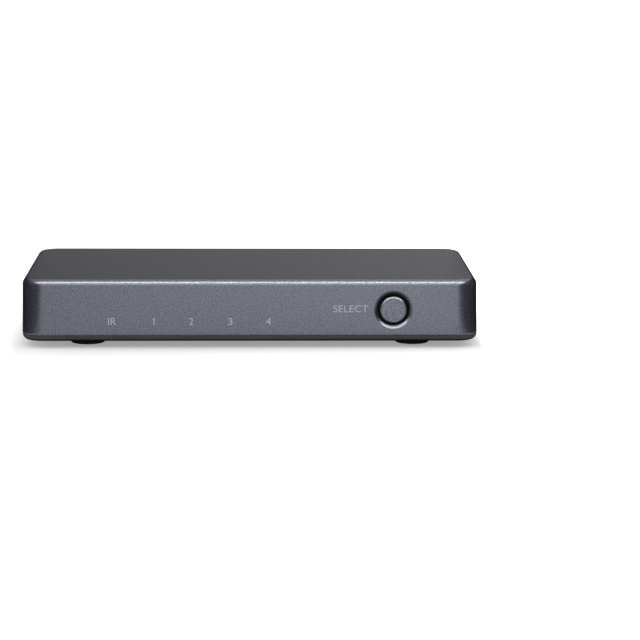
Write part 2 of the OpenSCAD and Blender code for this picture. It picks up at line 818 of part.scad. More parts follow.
// Outline of a socket's mouth, wide above and narrow below, grown by g all round.
function mouth_outline(g) =
    let (
        wide = mouth_w / 2 + g,
        narrow = mouth_low_w / 2 + g,
        bend = g * tan(22.5),
        z_low = mouth_step_h - bend,
        z_high = mouth_step_h + (mouth_w - mouth_low_w) / 2 - bend
    )
    [
        [-wide, mouth_h + g], [-wide, z_high], [-narrow, z_low], [-narrow, -g],
        [narrow, -g], [narrow, z_low], [wide, z_high], [wide, mouth_h + g]
    ];

// A socket's sheet shell, with spring fingers in its roof and four legs into the board.
module socket_shell(x) {
    color(tin) difference() {
        union() {
            translate([x, y_mouth, z_mouth]) rotate([90, 0, 0]) linear_extrude(socket_l)
                difference() {
                    polygon(mouth_outline(sheet_t));
                    polygon(mouth_outline(0));
                }
            for (side = [-1, 1], back = socket_legs)
                socket_leg(x + side * (mouth_w + sheet_t) / 2, y_mouth - back);
        }
        for (side = [-1, 1]) spring_finger(x + side * mouth_w / 4);
    }
}

module socket_leg(x, y) {
    box([x - sheet_t / 2, y - leg_w / 2, z_board - leg_reach],
        [x + sheet_t / 2, y + leg_w / 2, z_mouth + mouth_h / 2 + 0.8]);
}

// A U-shaped cut that leaves a spring finger in a shell's roof.
module spring_finger(x) {
    finger_w = 1.4;
    finger_l = 4;
    cut = 0.4;
    y_cut = y_mouth - tongue_setback - finger_l;
    difference() {
        box([x - finger_w / 2 - cut, y_cut - cut, z_mouth + mouth_h / 2],
            [x + finger_w / 2 + cut, y_cut + finger_l, z_mouth + mouth_h + over]);
        box([x - finger_w / 2, y_cut, z_mouth],
            [x + finger_w / 2, y_cut + finger_l + over, z_mouth + mouth_h + 2 * over]);
    }
}

// The insulator: a block that fills the shell's inner end, and the tongue.
module socket_insulator(x) {
    block_gap = 0.05;
    color(plastic_black) difference() {
        union() {
            translate([x, y_block + block_l, z_mouth]) rotate([90, 0, 0]) linear_extrude(block_l)
                polygon(mouth_outline(-block_gap));
            box([x - tongue_w / 2, y_block + block_l / 2, z_tongue],
                [x + tongue_w / 2, y_tongue, z_tongue + tongue_t]);
        }
        contact_slot(x, upper_contacts, z_tongue + tongue_t);
        contact_slot(x, lower_contacts, z_tongue - contact_t);
    }
}

module contact_slot(x, count, z) {
    half = (count - 1) * contact_pitch / 2 + contact_w;
    box([x - half, y_block - over, z], [x + half, y_block + block_l + over, z + contact_t]);
}

// A row of contacts on the upper and on the lower face of the tongue, each with its tail.
module socket_contacts(x) {
    color(gold) {
        contact_row(x, upper_contacts, z_tongue + tongue_t);
        contact_row(x, lower_contacts, z_tongue - contact_t);
    }
}

module contact_row(x, count, z) {
    for (i = [0:count - 1])
        translate([x + (i - (count - 1) / 2) * contact_pitch - contact_w / 2, 0, 0])
            rotate([90, 0, 90]) linear_extrude(contact_w) polygon(contact_path(z));
}

// One contact seen from the side: along the tongue, down to the board and out along it.
function contact_path(z) = [
    [y_tongue - contact_short, z + contact_t], [y_tail, z + contact_t],
    [y_tail, z_board_top + contact_t], [y_tail - tail_l, z_board_top + contact_t],
    [y_tail - tail_l, z_board_top], [y_tail + contact_t, z_board_top],
    [y_tail + contact_t, z], [y_tongue - contact_short, z]
];

// The power jack: a square collar at the panel, and a round barrel over a solid foot.
module jack_body() {
    color(plastic_black) difference() {
        union() {
            box([x_jack - jack_w / 2, y_mouth - jack_collar_l, z_board_top],
                [x_jack + jack_w / 2, y_mouth, z_board_top + jack_h]);
            box([x_jack - jack_w / 2, y_jack_in, z_board_top],
                [x_jack + jack_w / 2, y_mouth - jack_collar_l / 2, z_jack]);
            rod([x_jack, y_jack_in, z_jack], jack_barrel_r, jack_l - jack_collar_l / 2);
        }
        rod([x_jack, y_bore_in, z_jack], jack_bore_d / 2, jack_bore_l + over);
        rod([x_jack, y_jack_in - over, z_jack], jack_shank_r + pin_play, jack_l - jack_bore_l + 2 * over);
        jack_leaf_slot();
    }
}

// The pin: a thick shank held in the jack's back, the free pin, and a tail into the board.
module jack_pin() {
    tip_r = jack_pin_d / 4;
    y_tip_in = y_mouth - jack_pin_setback - tip_r;
    color(tin) {
        rod([x_jack, y_bore_in, z_jack], jack_pin_d / 2, y_tip_in - y_bore_in);
        rod([x_jack, y_tip_in, z_jack], jack_pin_d / 2, tip_r, jack_pin_d / 4);
        rod([x_jack, y_jack_in - jack_tail.y, z_jack], jack_shank_r, y_bore_in - y_jack_in + jack_tail.y);
        box([x_jack - jack_tail.x / 2, y_jack_in - jack_tail.y, z_board - leg_reach],
            [x_jack + jack_tail.x / 2, y_jack_in, z_jack]);
    }
}

// A flat leaf in the floor of the bore that touches the plug's sleeve.
module jack_leaf() {
    color(tin)
        box([x_jack - leaf_w / 2, y_bore_in, z_jack - leaf_drop - leaf_t],
            [x_jack + leaf_w / 2, y_mouth - jack_collar_l, z_jack - leaf_drop]);
}

module jack_leaf_slot() {
    box([x_jack - leaf_w / 2, y_bore_in, z_jack - leaf_drop - leaf_t],
        [x_jack + leaf_w / 2, y_mouth - jack_collar_l, z_jack]);
}

upper_shell();
base();
rear_panel();
base_screws();
board_screws();
foot(corners[0]);  // foot_front_left
foot(corners[1]);  // foot_front_right
foot(corners[2]);  // foot_rear_left
foot(corners[3]);  // foot_rear_right
button_bezel();
select_button();
switch_body();
switch_frame();
switch_plunger();
switch_dome();
light_guide();
for (i = [0:input_count - 1]) {
    lamp(i);
    socket_shell(x_inputs[i]);
    socket_insulator(x_inputs[i]);
    socket_contacts(x_inputs[i]);
}
ir_receiver();
ir_shield();
main_board();
switching_chip();
heat_sink();
control_chip();
regulator();
power_inductor();
capacitor(0);  // capacitor_1
capacitor(1);  // capacitor_2
crystal();
chip_resistors();
socket_shell(x_output);  // output_shell
socket_insulator(x_output);  // output_insulator
socket_contacts(x_output);  // output_contacts
jack_body();
jack_pin();
jack_leaf();
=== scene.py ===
# Dressed model of a four-input HDMI switch box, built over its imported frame.
# Sizes are in millimetres, in the frame's own axes, and become metres when a mesh is made.
import math

import bmesh
import bpy
from mathutils import Matrix, Vector

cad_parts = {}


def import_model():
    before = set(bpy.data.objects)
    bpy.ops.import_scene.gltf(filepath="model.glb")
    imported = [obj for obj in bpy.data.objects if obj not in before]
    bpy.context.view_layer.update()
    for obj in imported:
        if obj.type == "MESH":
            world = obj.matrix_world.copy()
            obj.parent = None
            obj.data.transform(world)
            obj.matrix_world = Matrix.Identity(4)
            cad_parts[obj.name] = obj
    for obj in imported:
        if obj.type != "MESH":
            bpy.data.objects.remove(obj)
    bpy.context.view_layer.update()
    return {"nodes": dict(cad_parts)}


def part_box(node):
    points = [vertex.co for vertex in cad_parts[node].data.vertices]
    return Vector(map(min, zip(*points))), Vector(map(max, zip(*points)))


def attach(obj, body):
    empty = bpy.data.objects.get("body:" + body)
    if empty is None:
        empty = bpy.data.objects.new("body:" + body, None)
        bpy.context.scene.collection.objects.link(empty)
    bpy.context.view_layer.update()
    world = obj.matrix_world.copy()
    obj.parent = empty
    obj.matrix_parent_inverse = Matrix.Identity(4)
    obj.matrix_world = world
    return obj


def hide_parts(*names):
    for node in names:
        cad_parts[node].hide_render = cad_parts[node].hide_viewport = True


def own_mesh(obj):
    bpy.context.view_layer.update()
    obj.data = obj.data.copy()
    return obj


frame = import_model()

MM = 0.001


def box_mm(node):
    """Lowest and highest corner of a CAD node, in millimetres."""
    low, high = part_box(node)
    return low / MM, high / MM


# Sizes read from the frame
SHELL_LOW, SHELL_HIGH = box_mm("upper_shell")
BASE_LOW, BASE_HIGH = box_mm("base")
PANEL_LOW, PANEL_HIGH = box_mm("rear_panel")
BUTTON_LOW, BUTTON_HIGH = box_mm("select_button")
BOARD_LOW, BOARD_HIGH = box_mm("main_board")
JACK_LOW, JACK_HIGH = box_mm("jack_body")
BEZEL_LOW, BEZEL_HIGH = box_mm("button_bezel")

BODY_W = SHELL_HIGH.x - SHELL_LOW.x
BODY_D = SHELL_HIGH.y - SHELL_LOW.y
Y_FRONT = SHELL_LOW.y
Y_REAR = SHELL_HIGH.y
Z_RIM = SHELL_LOW.z
Z_TOP = SHELL_HIGH.z
Z_BASE = BASE_LOW.z
Z_BOARD_TOP = BOARD_HIGH.z
X_BUTTON = (BUTTON_LOW.x + BUTTON_HIGH.x) / 2
Z_BUTTON = (BUTTON_LOW.z + BUTTON_HIGH.z) / 2

# Sizes of the housing
WALL = 2.0
CORNER_R = 7.5
TOP_EDGE_R = 2.4
TOP_EDGE_TURN = 74.0
SIDE_DRAFT = 1.0
BASE_EDGE_R = 1.95
SEAM = 0.1
LIP_GAP = 0.15
LIP_T = 1.2
LIP_H = 2.4
LIP_ROOT = 0.5
BOSS_H = 2.0
POST_R = 3.5
POST_INSET = 9.0
PILOT_R = 1.5
RIB_T = 1.2
RIB_GAP = 0.3
PANEL_LAP = 1.0
PANEL_GAP = 0.1
STOP_T = 1.2
STOP_H = 2.4
STOP_W = 4.0
STOP_INSET = 0.6
Z_FLOOR = Z_RIM - SEAM
Z_ROOF = Z_TOP - WALL
Z_BOSS = Z_FLOOR + BOSS_H
Z_LIP = Z_FLOOR + LIP_H
Y_FRONT_IN = Y_FRONT + WALL
Y_REAR_IN = Y_REAR - WALL
POST_X = BODY_W / 2 - POST_INSET
POST_Y = BODY_D / 2 - POST_INSET

# Radii of moulded and pressed edges, which the solids leave sharp
SEAM_EDGE_R = 0.1
SEAM_STEP = 0.08
RIM_EDGE_R = 1.2
RIM_TURN = 32.0
OPENING_EDGE_R = 0.3
OPENING_CORNER_R = 1.0
UNDERSIDE_EDGE_R = 0.2
HOLE_EDGE_R = 0.6
HOLE_EDGE_TURN = 28.0

# Button, its hole and its sleeve
CAP_R = 4.6
CAP_BEVEL = 0.45
CAP_SLOPE = 28.0
CAP_EDGE = 0.06
HOLE_R = 5.4
BEZEL_R = (BEZEL_HIGH.x - BEZEL_LOW.x) / 2
BEZEL_PLAY = 0.05
BEZEL_SLOPE = (31.0, 44.0)
BEZEL_TOP = 0.12
FLANGE_R = 6.3
FLANGE_T = 1.0
FLANGE_GAP = 0.2
STEM_R = 2.0
SLEEVE_R = 6.5
SLEEVE_T = 1.0
SLEEVE_L = 2.4

# Thickness of the sprung dome of the tactile switch
DOME_T = 0.15

# Pockets inside the front wall, behind the numerals and the receiver's mark
WINDOW_T = 0.8
POCKET_H = 3.0
LAMP_POCKET_W = 3.4
LAMP_COUNT = 4
RECEIVER_POCKET_W = 6.8

# Base
FOOT_PLAY = 0.1
FOOT_SINK = 0.6
FOOT_EDGE_R = 0.45
SOLE_RING = ((0.0, 0.55), (0.12, 0.60), (0.12, 0.66), (0.0, 0.71))
SCREW_SINK = 2.1
SCREW_HOLE_R = 1.65
SCREW_HEAD_R = 2.6
SCREW_HEAD_H = 1.7
SCREW_SHANK_R = 1.45
SCREW_L = 10.0
SCREW_TIP_R = 0.6
SCREW_TIP_L = 1.0
HEAD_DOME = ((0.0, 1.2), (0.1, 1.75), (0.32, 2.2), (0.75, 2.5), (1.1, SCREW_HEAD_R))
CROSS_RINGS = ((-0.6, 3.1, 0.85), (0.0, 2.9, 0.78), (1.05, 1.3, 0.5))
HEAD_PLAY = 0.15
VENT_W = 1.8
VENT_L = 20.0
VENT_PITCH = 4.5
VENT_COUNT = 9
VENT_BLOCK_X = 32.0
BOARD_BOSS_R = 2.7
BOARD_SCREW_R = 1.15
BOARD_PILOT_L = 5.1
BOARD_SCREW_X = 61.0
BOARD_SCREW_Y = (-28.0, 18.0)

# Sockets
SOCKETS = ("input_1", "input_2", "input_3", "input_4", "output")
MOUTH_W = 14.0
MOUTH_LOW_W = 10.8
MOUTH_H = 4.55
MOUTH_STEP_H = 0.6
MOUTH_CORNER_R = 0.45
SHEET_T = 0.3
SHEET_EDGE_R = 0.12
CUTOUT_GAP = 0.25
CUTOUT_EDGE = 0.15
JACK_CORNER_R = 0.4

ARC_STEPS = 14
ROUND_STEPS = 96
OVER = 1.0


# Mesh building

def arc(centre, radius, start, end, steps=ARC_STEPS):
    """Points on an arc in a plane, from one angle to another in degrees."""
    points = []
    for i in range(steps + 1):
        angle = math.radians(start + (end - start) * i / steps)
        points.append((centre[0] + radius * math.cos(angle), centre[1] + radius * math.sin(angle)))
    return points


def rounded_rectangle(width, depth, radius, steps=ARC_STEPS):
    """Outline of a rectangle with round corners, about its middle, anticlockwise."""
    x, y = width / 2 - radius, depth / 2 - radius
    corners = (((x, y), 0), ((-x, y), 90), ((-x, -y), 180), ((x, -y), 270))
    return [p for centre, turn in corners for p in arc(centre, radius, turn, turn + 90, steps)]


def rounded_polygon(corners, radius, grow=0.0, steps=6):
    """Outline of a polygon listed anticlockwise, moved out by grow, with its corners rounded."""
    count = len(corners)
    points = []
    for i in range(count):
        before, here, after = (Vector(corners[(i + k) % count]) for k in (-1, 0, 1))
        towards, away = (here - before).normalized(), (after - here).normalized()
        out_a, out_b = Vector((towards.y, -towards.x)), Vector((away.y, -away.x))
        bisector = (out_a + out_b).normalized()
        turn = math.atan2(towards.cross(away), towards.dot(away))
        size = max(radius + (grow if turn > 0 else -grow), 0.05)
        tip = here + bisector * grow / math.cos(turn / 2)
        reach = size * math.tan(abs(turn) / 2)
        side = 1 if turn > 0 else -1
        middle = tip - towards * reach - out_a * size * side
        start = math.atan2(out_a.y * side, out_a.x * side)
        for k in range(steps + 1):
            angle = start + turn * k / steps
            points.append((middle.x + size * math.cos(angle), middle.y + size * math.sin(angle)))
    return points


def circle(radius, steps=ROUND_STEPS):
    """Outline of a circle, anticlockwise."""
    turns = [2 * math.pi * i / steps for i in range(steps)]
    return [(radius * math.cos(turn), radius * math.sin(turn)) for turn in turns]


def level(outline, z, at=(0, 0)):
    """A ring of points at height z."""
    return [(x + at[0], y + at[1], z) for x, y in outline]


def upright(outline, y, at=(0, 0)):
    """A ring of points in the plane across Y, for shapes that run from front to back."""
    return [(x + at[0], y, z + at[1]) for x, z in outline]


def metres(values):
    """Millimetres as metres."""
    return [value * MM for value in values]


def loft(rings):
    """A closed mesh through rings of equally many points, with a flat face over each end."""
    mesh = bmesh.new()
    made = [[mesh.verts.new(metres(point)) for point in ring] for ring in rings]
    count = len(made[0])
    for low, high in zip(made, made[1:]):
        for i in range(count):
            mesh.faces.new((low[i], low[(i + 1) % count], high[(i + 1) % count], high[i]))
    mesh.faces.new(made[0][::-1])
    mesh.faces.new(made[-1])
    bmesh.ops.recalc_face_normals(mesh, faces=mesh.faces)
    return mesh


def tube(rings):
    """A closed mesh through rings that come back to the first one."""
    mesh = bmesh.new()
    made = [[mesh.verts.new(metres(point)) for point in ring] for ring in rings]
    count = len(made[0])
    for low, high in zip(made, made[1:] + made[:1]):
        for i in range(count):
            mesh.faces.new((low[i], low[(i + 1) % count], high[(i + 1) % count], high[i]))
    bmesh.ops.recalc_face_normals(mesh, faces=mesh.faces)
    return mesh


def spun_y(profile, at):
    """A solid of revolution along Y about (x, z), from (y, radius) points."""
    return loft([upright(circle(r), y, at) for y, r in profile])


def spun_z(profile, at):
    """A solid of revolution along Z about (x, y), from (z, radius) points."""
    return loft([level(circle(r), z, at) for z, r in profile])


def middle(low, high):
    """Middle of a box in plan."""
    return (low.x + high.x) / 2, (low.y + high.y) / 2


def across(low, high):
    """Middle of a box seen along Y."""
    return (low.x + high.x) / 2, (low.z + high.z) / 2


def between(low, high):
    """Two numbers, the lower one first."""
    return min(low, high), max(low, high)


def block(low, high):
    """A plain box, used only to add to or cut from another mesh."""
    outline = [(low[0], low[1]), (high[0], low[1]), (high[0], high[1]), (low[0], high[1])]
    return loft([level(outline, low[2]), level(outline, high[2])])


def joined(meshes):
    """One mesh that holds several."""
    whole = bmesh.new()
    for mesh in meshes:
        data = to_data(mesh, "part")
        whole.from_mesh(data)
        bpy.data.meshes.remove(data)
    return whole


def to_data(mesh, name):
    """Mesh data from a working mesh, which is freed."""
    data = bpy.data.meshes.new(name)
    mesh.to_mesh(data)
    mesh.free()
    return data


def link(data, name):
    """An object in the scene that shows some data."""
    piece = bpy.data.objects.new(name, data)
    bpy.context.scene.collection.objects.link(piece)
    return piece


def combine(mesh, other, operation):
    """The union of two meshes, or their difference."""
    first = link(to_data(mesh, "first"), "first")
    second = link(to_data(other, "second"), "second")
    step = first.modifiers.new("combine", "BOOLEAN")
    step.operation = operation
    step.object = second
    step.solver = "EXACT"
    graph = bpy.context.evaluated_depsgraph_get()
    data = bpy.data.meshes.new_from_object(first.evaluated_get(graph))
    made = bmesh.new()
    made.from_mesh(data)
    for piece in (first, second):
        spare = piece.data
        bpy.data.objects.remove(piece)
        bpy.data.meshes.remove(spare)
    bpy.data.meshes.remove(data)
    bmesh.ops.remove_doubles(made, verts=made.verts, dist=1e-7)
    bmesh.ops.dissolve_degenerate(made, edges=made.edges, dist=1e-7)
    return made


def add(mesh, *others):
    """A mesh with others joined on."""
    for other in others:
        mesh = combine(mesh, other, "UNION")
    return mesh


def cut(mesh, *others):
    """A mesh with others taken away."""
    for other in others:
        mesh = combine(mesh, other, "DIFFERENCE")
    return mesh


def finish_piece(mesh, name, material, body, replaces=(), sharp=38):
    """Turns a mesh into a piece that rides on a body, with smooth faces between its sharp edges."""
    data = to_data(mesh, name)
    piece = link(data, name)
    data.materials.append(material)
    for face in data.polygons:
        face.use_smooth = True
    data.set_sharp_from_angle(angle=math.radians(sharp))
    normals = piece.modifiers.new("even_normals", "WEIGHTED_NORMAL")
    normals.keep_sharp = True
    normals.weight = 100
    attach(piece, body)
    if replaces:
        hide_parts(*replaces)
    return piece


# Materials

class Shading:
    """A node material with one main shader, and helpers that add detail to it."""

    def __init__(self, name, color, roughness, metallic=0.0, specular=0.5):
        self.material = bpy.data.materials.new(name)
        self.material.use_nodes = True
        self.nodes = self.material.node_tree.nodes
        self.links = self.material.node_tree.links
        self.shader = self.nodes["Principled BSDF"]
        self.color = color
        self.set("Base Color", (*color, 1))
        self.set("Roughness", roughness)
        self.set("Metallic", metallic)
        self.set("Specular IOR Level", specular)
        self.place = self.nodes.new("ShaderNodeTexCoord").outputs["Object"]

    def set(self, socket, value):
        """Sets one of the main shader's sockets."""
        self.shader.inputs[socket].default_value = value

    def noise(self, size_mm, detail=3.0, roughness=0.55):
        """Soft noise whose lumps are about size_mm across."""
        node = self.nodes.new("ShaderNodeTexNoise")
        node.inputs["Scale"].default_value = 1 / (size_mm * MM)
        node.inputs["Detail"].default_value = detail
        node.inputs["Roughness"].default_value = roughness
        self.links.new(self.place, node.inputs["Vector"])
        return node.outputs["Fac"]

    def cells(self, size_mm):
        """Random cells about size_mm across, each with a colour of its own."""
        node = self.nodes.new("ShaderNodeTexVoronoi")
        node.inputs["Scale"].default_value = 1 / (size_mm * MM)
        self.links.new(self.place, node.inputs["Vector"])
        return node.outputs["Color"]

    def spread(self, value, low, high, to_low, to_high):
        """A value moved from one range to another, whose top may be a value too."""
        node = self.nodes.new("ShaderNodeMapRange")
        for name, number in (("From Min", low), ("From Max", high), ("To Min", to_low)):
            node.inputs[name].default_value = number
        if isinstance(to_high, bpy.types.NodeSocket):
            self.links.new(to_high, node.inputs["To Max"])
        else:
            node.inputs["To Max"].default_value = to_high
        self.links.new(value, node.inputs["Value"])
        return node.outputs["Result"]

    def blend(self, first, second, share):
        """Two values mixed, with a share of the second."""
        node = self.nodes.new("ShaderNodeMix")
        node.inputs["Factor"].default_value = share
        self.links.new(first, node.inputs["A"])
        self.links.new(second, node.inputs["B"])
        return node.outputs["Result"]

    def times(self, first, second):
        """Two values multiplied."""
        node = self.nodes.new("ShaderNodeMath")
        node.operation = "MULTIPLY"
        self.links.new(first, node.inputs[0])
        self.links.new(second, node.inputs[1])
        return node.outputs[0]

    def vector_step(self, operation, first, second=None):
        """One step of vector arithmetic, with a fixed second vector where it needs one."""
        node = self.nodes.new("ShaderNodeVectorMath")
        node.operation = operation
        self.links.new(first, node.inputs[0])
        if second:
            node.inputs[1].default_value = second
        return node.outputs["Value" if operation == "LENGTH" else "Vector"]

    def tint(self, value, dark, bright):
        """Base colour that runs from dark to bright shares of the material's own colour."""
        node = self.nodes.new("ShaderNodeMix")
        node.data_type = "RGBA"
        node.inputs["A"].default_value = (*(c * dark for c in self.color), 1)
        node.inputs["B"].default_value = (*(c * bright for c in self.color), 1)
        self.links.new(value, node.inputs["Factor"])
        self.links.new(node.outputs["Result"], self.shader.inputs["Base Color"])

    def vary_roughness(self, value):
        """Takes the roughness from a value."""
        self.links.new(value, self.shader.inputs["Roughness"])

    def bump(self, height, depth_mm, strength=1.0):
        """Bumps in the surface, depth_mm deep, from a height."""
        node = self.nodes.new("ShaderNodeBump")
        node.inputs["Strength"].default_value = strength
        node.inputs["Distance"].default_value = depth_mm * MM
        self.links.new(height, node.inputs["Height"])
        self.links.new(node.outputs["Normal"], self.shader.inputs["Normal"])

    def flake_tilt(self, color, amount):
        """Tilts the surface a little by a random amount in each cell, as flakes in paint lie."""
        shift = self.nodes.new("ShaderNodeVectorMath")
        shift.operation = "SUBTRACT"
        shift.inputs[1].default_value = (0.5, 0.5, 0.5)
        self.links.new(color, shift.inputs[0])
        scale = self.nodes.new("ShaderNodeVectorMath")
        scale.operation = "SCALE"
        scale.inputs["Scale"].default_value = amount
        self.links.new(shift.outputs[0], scale.inputs[0])
        facing = self.nodes.new("ShaderNodeNewGeometry").outputs["Normal"]
        lean = self.nodes.new("ShaderNodeVectorMath")
        self.links.new(facing, lean.inputs[0])
        self.links.new(scale.outputs[0], lean.inputs[1])
        unit = self.nodes.new("ShaderNodeVectorMath")
        unit.operation = "NORMALIZE"
        self.links.new(lean.outputs[0], unit.inputs[0])
        self.links.new(unit.outputs[0], self.shader.inputs["Normal"])

    def along(self, axis):
        """The distance along one of the object's axes, in metres."""
        node = self.nodes.new("ShaderNodeSeparateXYZ")
        self.links.new(self.place, node.inputs[0])
        return node.outputs[axis]

    def clear_from_behind(self):
        """Lets a look from behind the surface pass through it."""
        mix = self.nodes.new("ShaderNodeMixShader")
        behind = self.nodes.new("ShaderNodeNewGeometry").outputs["Backfacing"]
        self.links.new(behind, mix.inputs[0])
        self.links.new(self.shader.outputs[0], mix.inputs[1])
        self.links.new(self.nodes.new("ShaderNodeBsdfTransparent").outputs[0], mix.inputs[2])
        self.links.new(mix.outputs[0], self.nodes["Material Output"].inputs["Surface"])

    def single(self, color):
        """One number out of a random colour."""
        node = self.nodes.new("ShaderNodeSeparateColor")
        self.links.new(color, node.inputs["Color"])
        return node.outputs["Red"]


def metallic_paint():
    """Anthracite paint with fine aluminium flakes."""
    paint = Shading("anthracite_paint", (0.156, 0.161, 0.193), 0.31, metallic=1.0)
    paint.set("Specular Tint", (0.290, 0.280, 0.269, 1))
    flakes = paint.cells(0.12)
    grain = paint.spread(paint.noise(0.36, detail=2.0), 0.32, 0.68, 0.0, 1.0)
    paint.tint(paint.blend(grain, paint.single(flakes), 0.3), 0.46, 1.54)
    paint.flake_tilt(flakes, 0.06)
    return paint.material


def moulded_plastic(name, color, roughness, grain_mm=0.35, depth_mm=0.012, specular=0.5):
    """Plastic from a finely textured mould."""
    plastic = Shading(name, color, roughness, specular=specular)
    grain = plastic.noise(grain_mm, detail=4.0)
    plastic.bump(grain, depth_mm)
    plastic.tint(plastic.noise(6.0), 0.88, 1.12)
    mottle = plastic.spread(plastic.noise(1.5), 0.3, 0.7, roughness - 0.06, roughness + 0.06)
    plastic.vary_roughness(mottle)
    return plastic.material


def base_plastic():
    """Black plastic, darker towards the bottom: a painted shade along the tray's lower edge and underside,
    below the paler band under the seam.
    """
    plastic = Shading("base_plastic", (0.082, 0.078, 0.081), 0.70, specular=0.0)
    plastic.bump(plastic.noise(0.35, detail=4.0), 0.012)
    # Painted shade: below the band the colour falls to 0.14 of itself, standing in for the shade under the
    # tray's edge.
    painted_low_shade = plastic.spread(plastic.along("Z"), (Z_BASE + 0.60) * MM, (Z_BASE + 0.85) * MM, 0.14, 1.0)
    mottle = plastic.spread(plastic.noise(6.0), 0.3, 0.7, 0.84, 1.0)
    plastic.tint(plastic.times(painted_low_shade, mottle), 0.0, 1.0)
    plastic.vary_roughness(plastic.spread(plastic.noise(1.5), 0.3, 0.7, 0.64, 0.76))
    return plastic.material


def foot_rubber():
    """Matt black rubber with a fine skin."""
    rubber = Shading("foot_rubber", (0.012, 0.012, 0.012), 0.78, specular=0.3)
    rubber.bump(rubber.noise(0.25, detail=5.0), 0.02)
    rubber.tint(rubber.noise(1.2), 0.8, 1.3)
    return rubber.material


def plated_metal(name, color, roughness, mottle=0.12, grain_mm=0.3):
    """Plated sheet or turned metal, faintly mottled."""
    metal = Shading(name, color, roughness, metallic=1.0)
    metal.tint(metal.noise(grain_mm * 6), 1 - mottle, 1 + mottle / 2)
    wear = metal.spread(metal.noise(grain_mm), 0.3, 0.7, roughness * 0.75, roughness * 1.3)
    metal.vary_roughness(wear)
    metal.bump(metal.noise(grain_mm, detail=4.0), 0.004)
    return metal.material


def polished_bezel():
    """Dark polished ring, finely turned."""
    ring = Shading("dark_bezel", (0.130, 0.132, 0.149), 0.28, metallic=1.0)
    ring.tint(ring.noise(1.5), 0.9, 1.1)
    ring.bump(ring.noise(0.15, detail=4.0), 0.002)
    return ring.material


def printed_ink(name, color):
    """Pale printed ink, slightly uneven."""
    ink = Shading(name, color, 0.55, specular=0.3)
    ink.tint(ink.noise(0.2, detail=4.0), 0.86, 1.1)
    ink.bump(ink.noise(0.12), 0.004)
    return ink.material


def board_mask():
    """Green solder mask over copper tracks that show as lighter lines."""
    mask = Shading("board_mask", (0.012, 0.10, 0.045), 0.32)
    wave = mask.nodes.new("ShaderNodeTexWave")
    wave.inputs["Scale"].default_value = 180.0
    wave.inputs["Distortion"].default_value = 6.0
    wave.inputs["Detail"].default_value = 1.0
    mask.links.new(mask.place, wave.inputs["Vector"])
    tracks = mask.spread(wave.outputs["Fac"], 0.62, 0.66, 0.0, 1.0)
    mask.tint(tracks, 0.85, 1.7)
    mask.bump(tracks, 0.03)
    return mask.material


def clear_acrylic():
    """Clear plastic of the light guide."""
    acrylic = Shading("clear_acrylic", (0.92, 0.95, 0.97), 0.08)
    acrylic.set("Transmission Weight", 0.9)
    acrylic.set("IOR", 1.49)
    acrylic.bump(acrylic.noise(0.8), 0.004)
    return acrylic.material


PAINT = metallic_paint()
BEZEL = polished_bezel()
BASE_PLASTIC = base_plastic()
PANEL_PLASTIC = moulded_plastic("panel_plastic", (0.022, 0.022, 0.023), 0.5)
INNER_PLASTIC = moulded_plastic("inner_plastic", (0.016, 0.016, 0.017), 0.42, 0.2, 0.006)
MATT_PLASTIC = moulded_plastic("matt_plastic", (0.010, 0.010, 0.010), 0.7, grain_mm=0.2, specular=0.1)
CHIP_EPOXY = moulded_plastic("chip_epoxy", (0.018, 0.018, 0.019), 0.55, 0.12, 0.008)
FERRITE = moulded_plastic("ferrite_core", (0.05, 0.05, 0.052), 0.6, 0.15, 0.01)
LAMP_PLASTIC = moulded_plastic("lamp_plastic", (0.80, 0.80, 0.74), 0.35, 0.2, 0.004)
RUBBER = foot_rubber()
TIN = plated_metal("tin_plate", (0.66, 0.65, 0.62), 0.26)
GOLD = plated_metal("contact_gold", (0.86, 0.62, 0.24), 0.22, grain_mm=0.1)
ZINC = plated_metal("zinc_steel", (0.42, 0.42, 0.43), 0.34)
ALUMINIUM = plated_metal("bare_aluminium", (0.72, 0.72, 0.73), 0.36)
INK = printed_ink("legend_ink", (0.49, 0.51, 0.58))
REAR_INK = printed_ink("rear_legend_ink", (0.62, 0.62, 0.62))
BOARD = board_mask()
ACRYLIC = clear_acrylic()


# Housing

def plan(inset, z):
    """A ring of the housing's outline, moved in by inset, and narrower the higher it is above the rim."""
    lean = max(z - Z_RIM, 0) * math.tan(math.radians(SIDE_DRAFT))
    width = BODY_W - 2 * inset - 2 * lean
    return level(rounded_rectangle(width, BODY_D - 2 * inset, CORNER_R - inset), z)


def profile_rings(points):
    """A solid with the housing's outline, from (inset, z) points."""
    return loft([plan(inset, z) for inset, z in points])


def posts():
    """Where the screw posts stand, in plan."""
    return [(sx * POST_X, sy * POST_Y) for sx in (-1, 1) for sy in (-1, 1)]


def shell_walls():
    """Roof and walls: up the inside of the walls backwards, round the rim, up the outside to the roof."""
    inner_r = TOP_EDGE_R - WALL
    inside = arc((WALL + inner_r, Z_ROOF - inner_r), inner_r, 90, 180, 4)
    rim_in = arc((WALL - SEAM_EDGE_R, Z_RIM + SEAM_EDGE_R), SEAM_EDGE_R, 0, -90, 4)
    rim_rise = RIM_EDGE_R * math.sin(math.radians(RIM_TURN))
    rim_out = arc((RIM_EDGE_R, Z_RIM + rim_rise), RIM_EDGE_R, 180 + RIM_TURN, 180, 8)
    edge_rise = TOP_EDGE_R * math.sin(math.radians(TOP_EDGE_TURN))
    edge = arc((TOP_EDGE_R, Z_TOP - edge_rise), TOP_EDGE_R, 180, 180 - TOP_EDGE_TURN)
    return profile_rings(inside + rim_in + rim_out + edge)


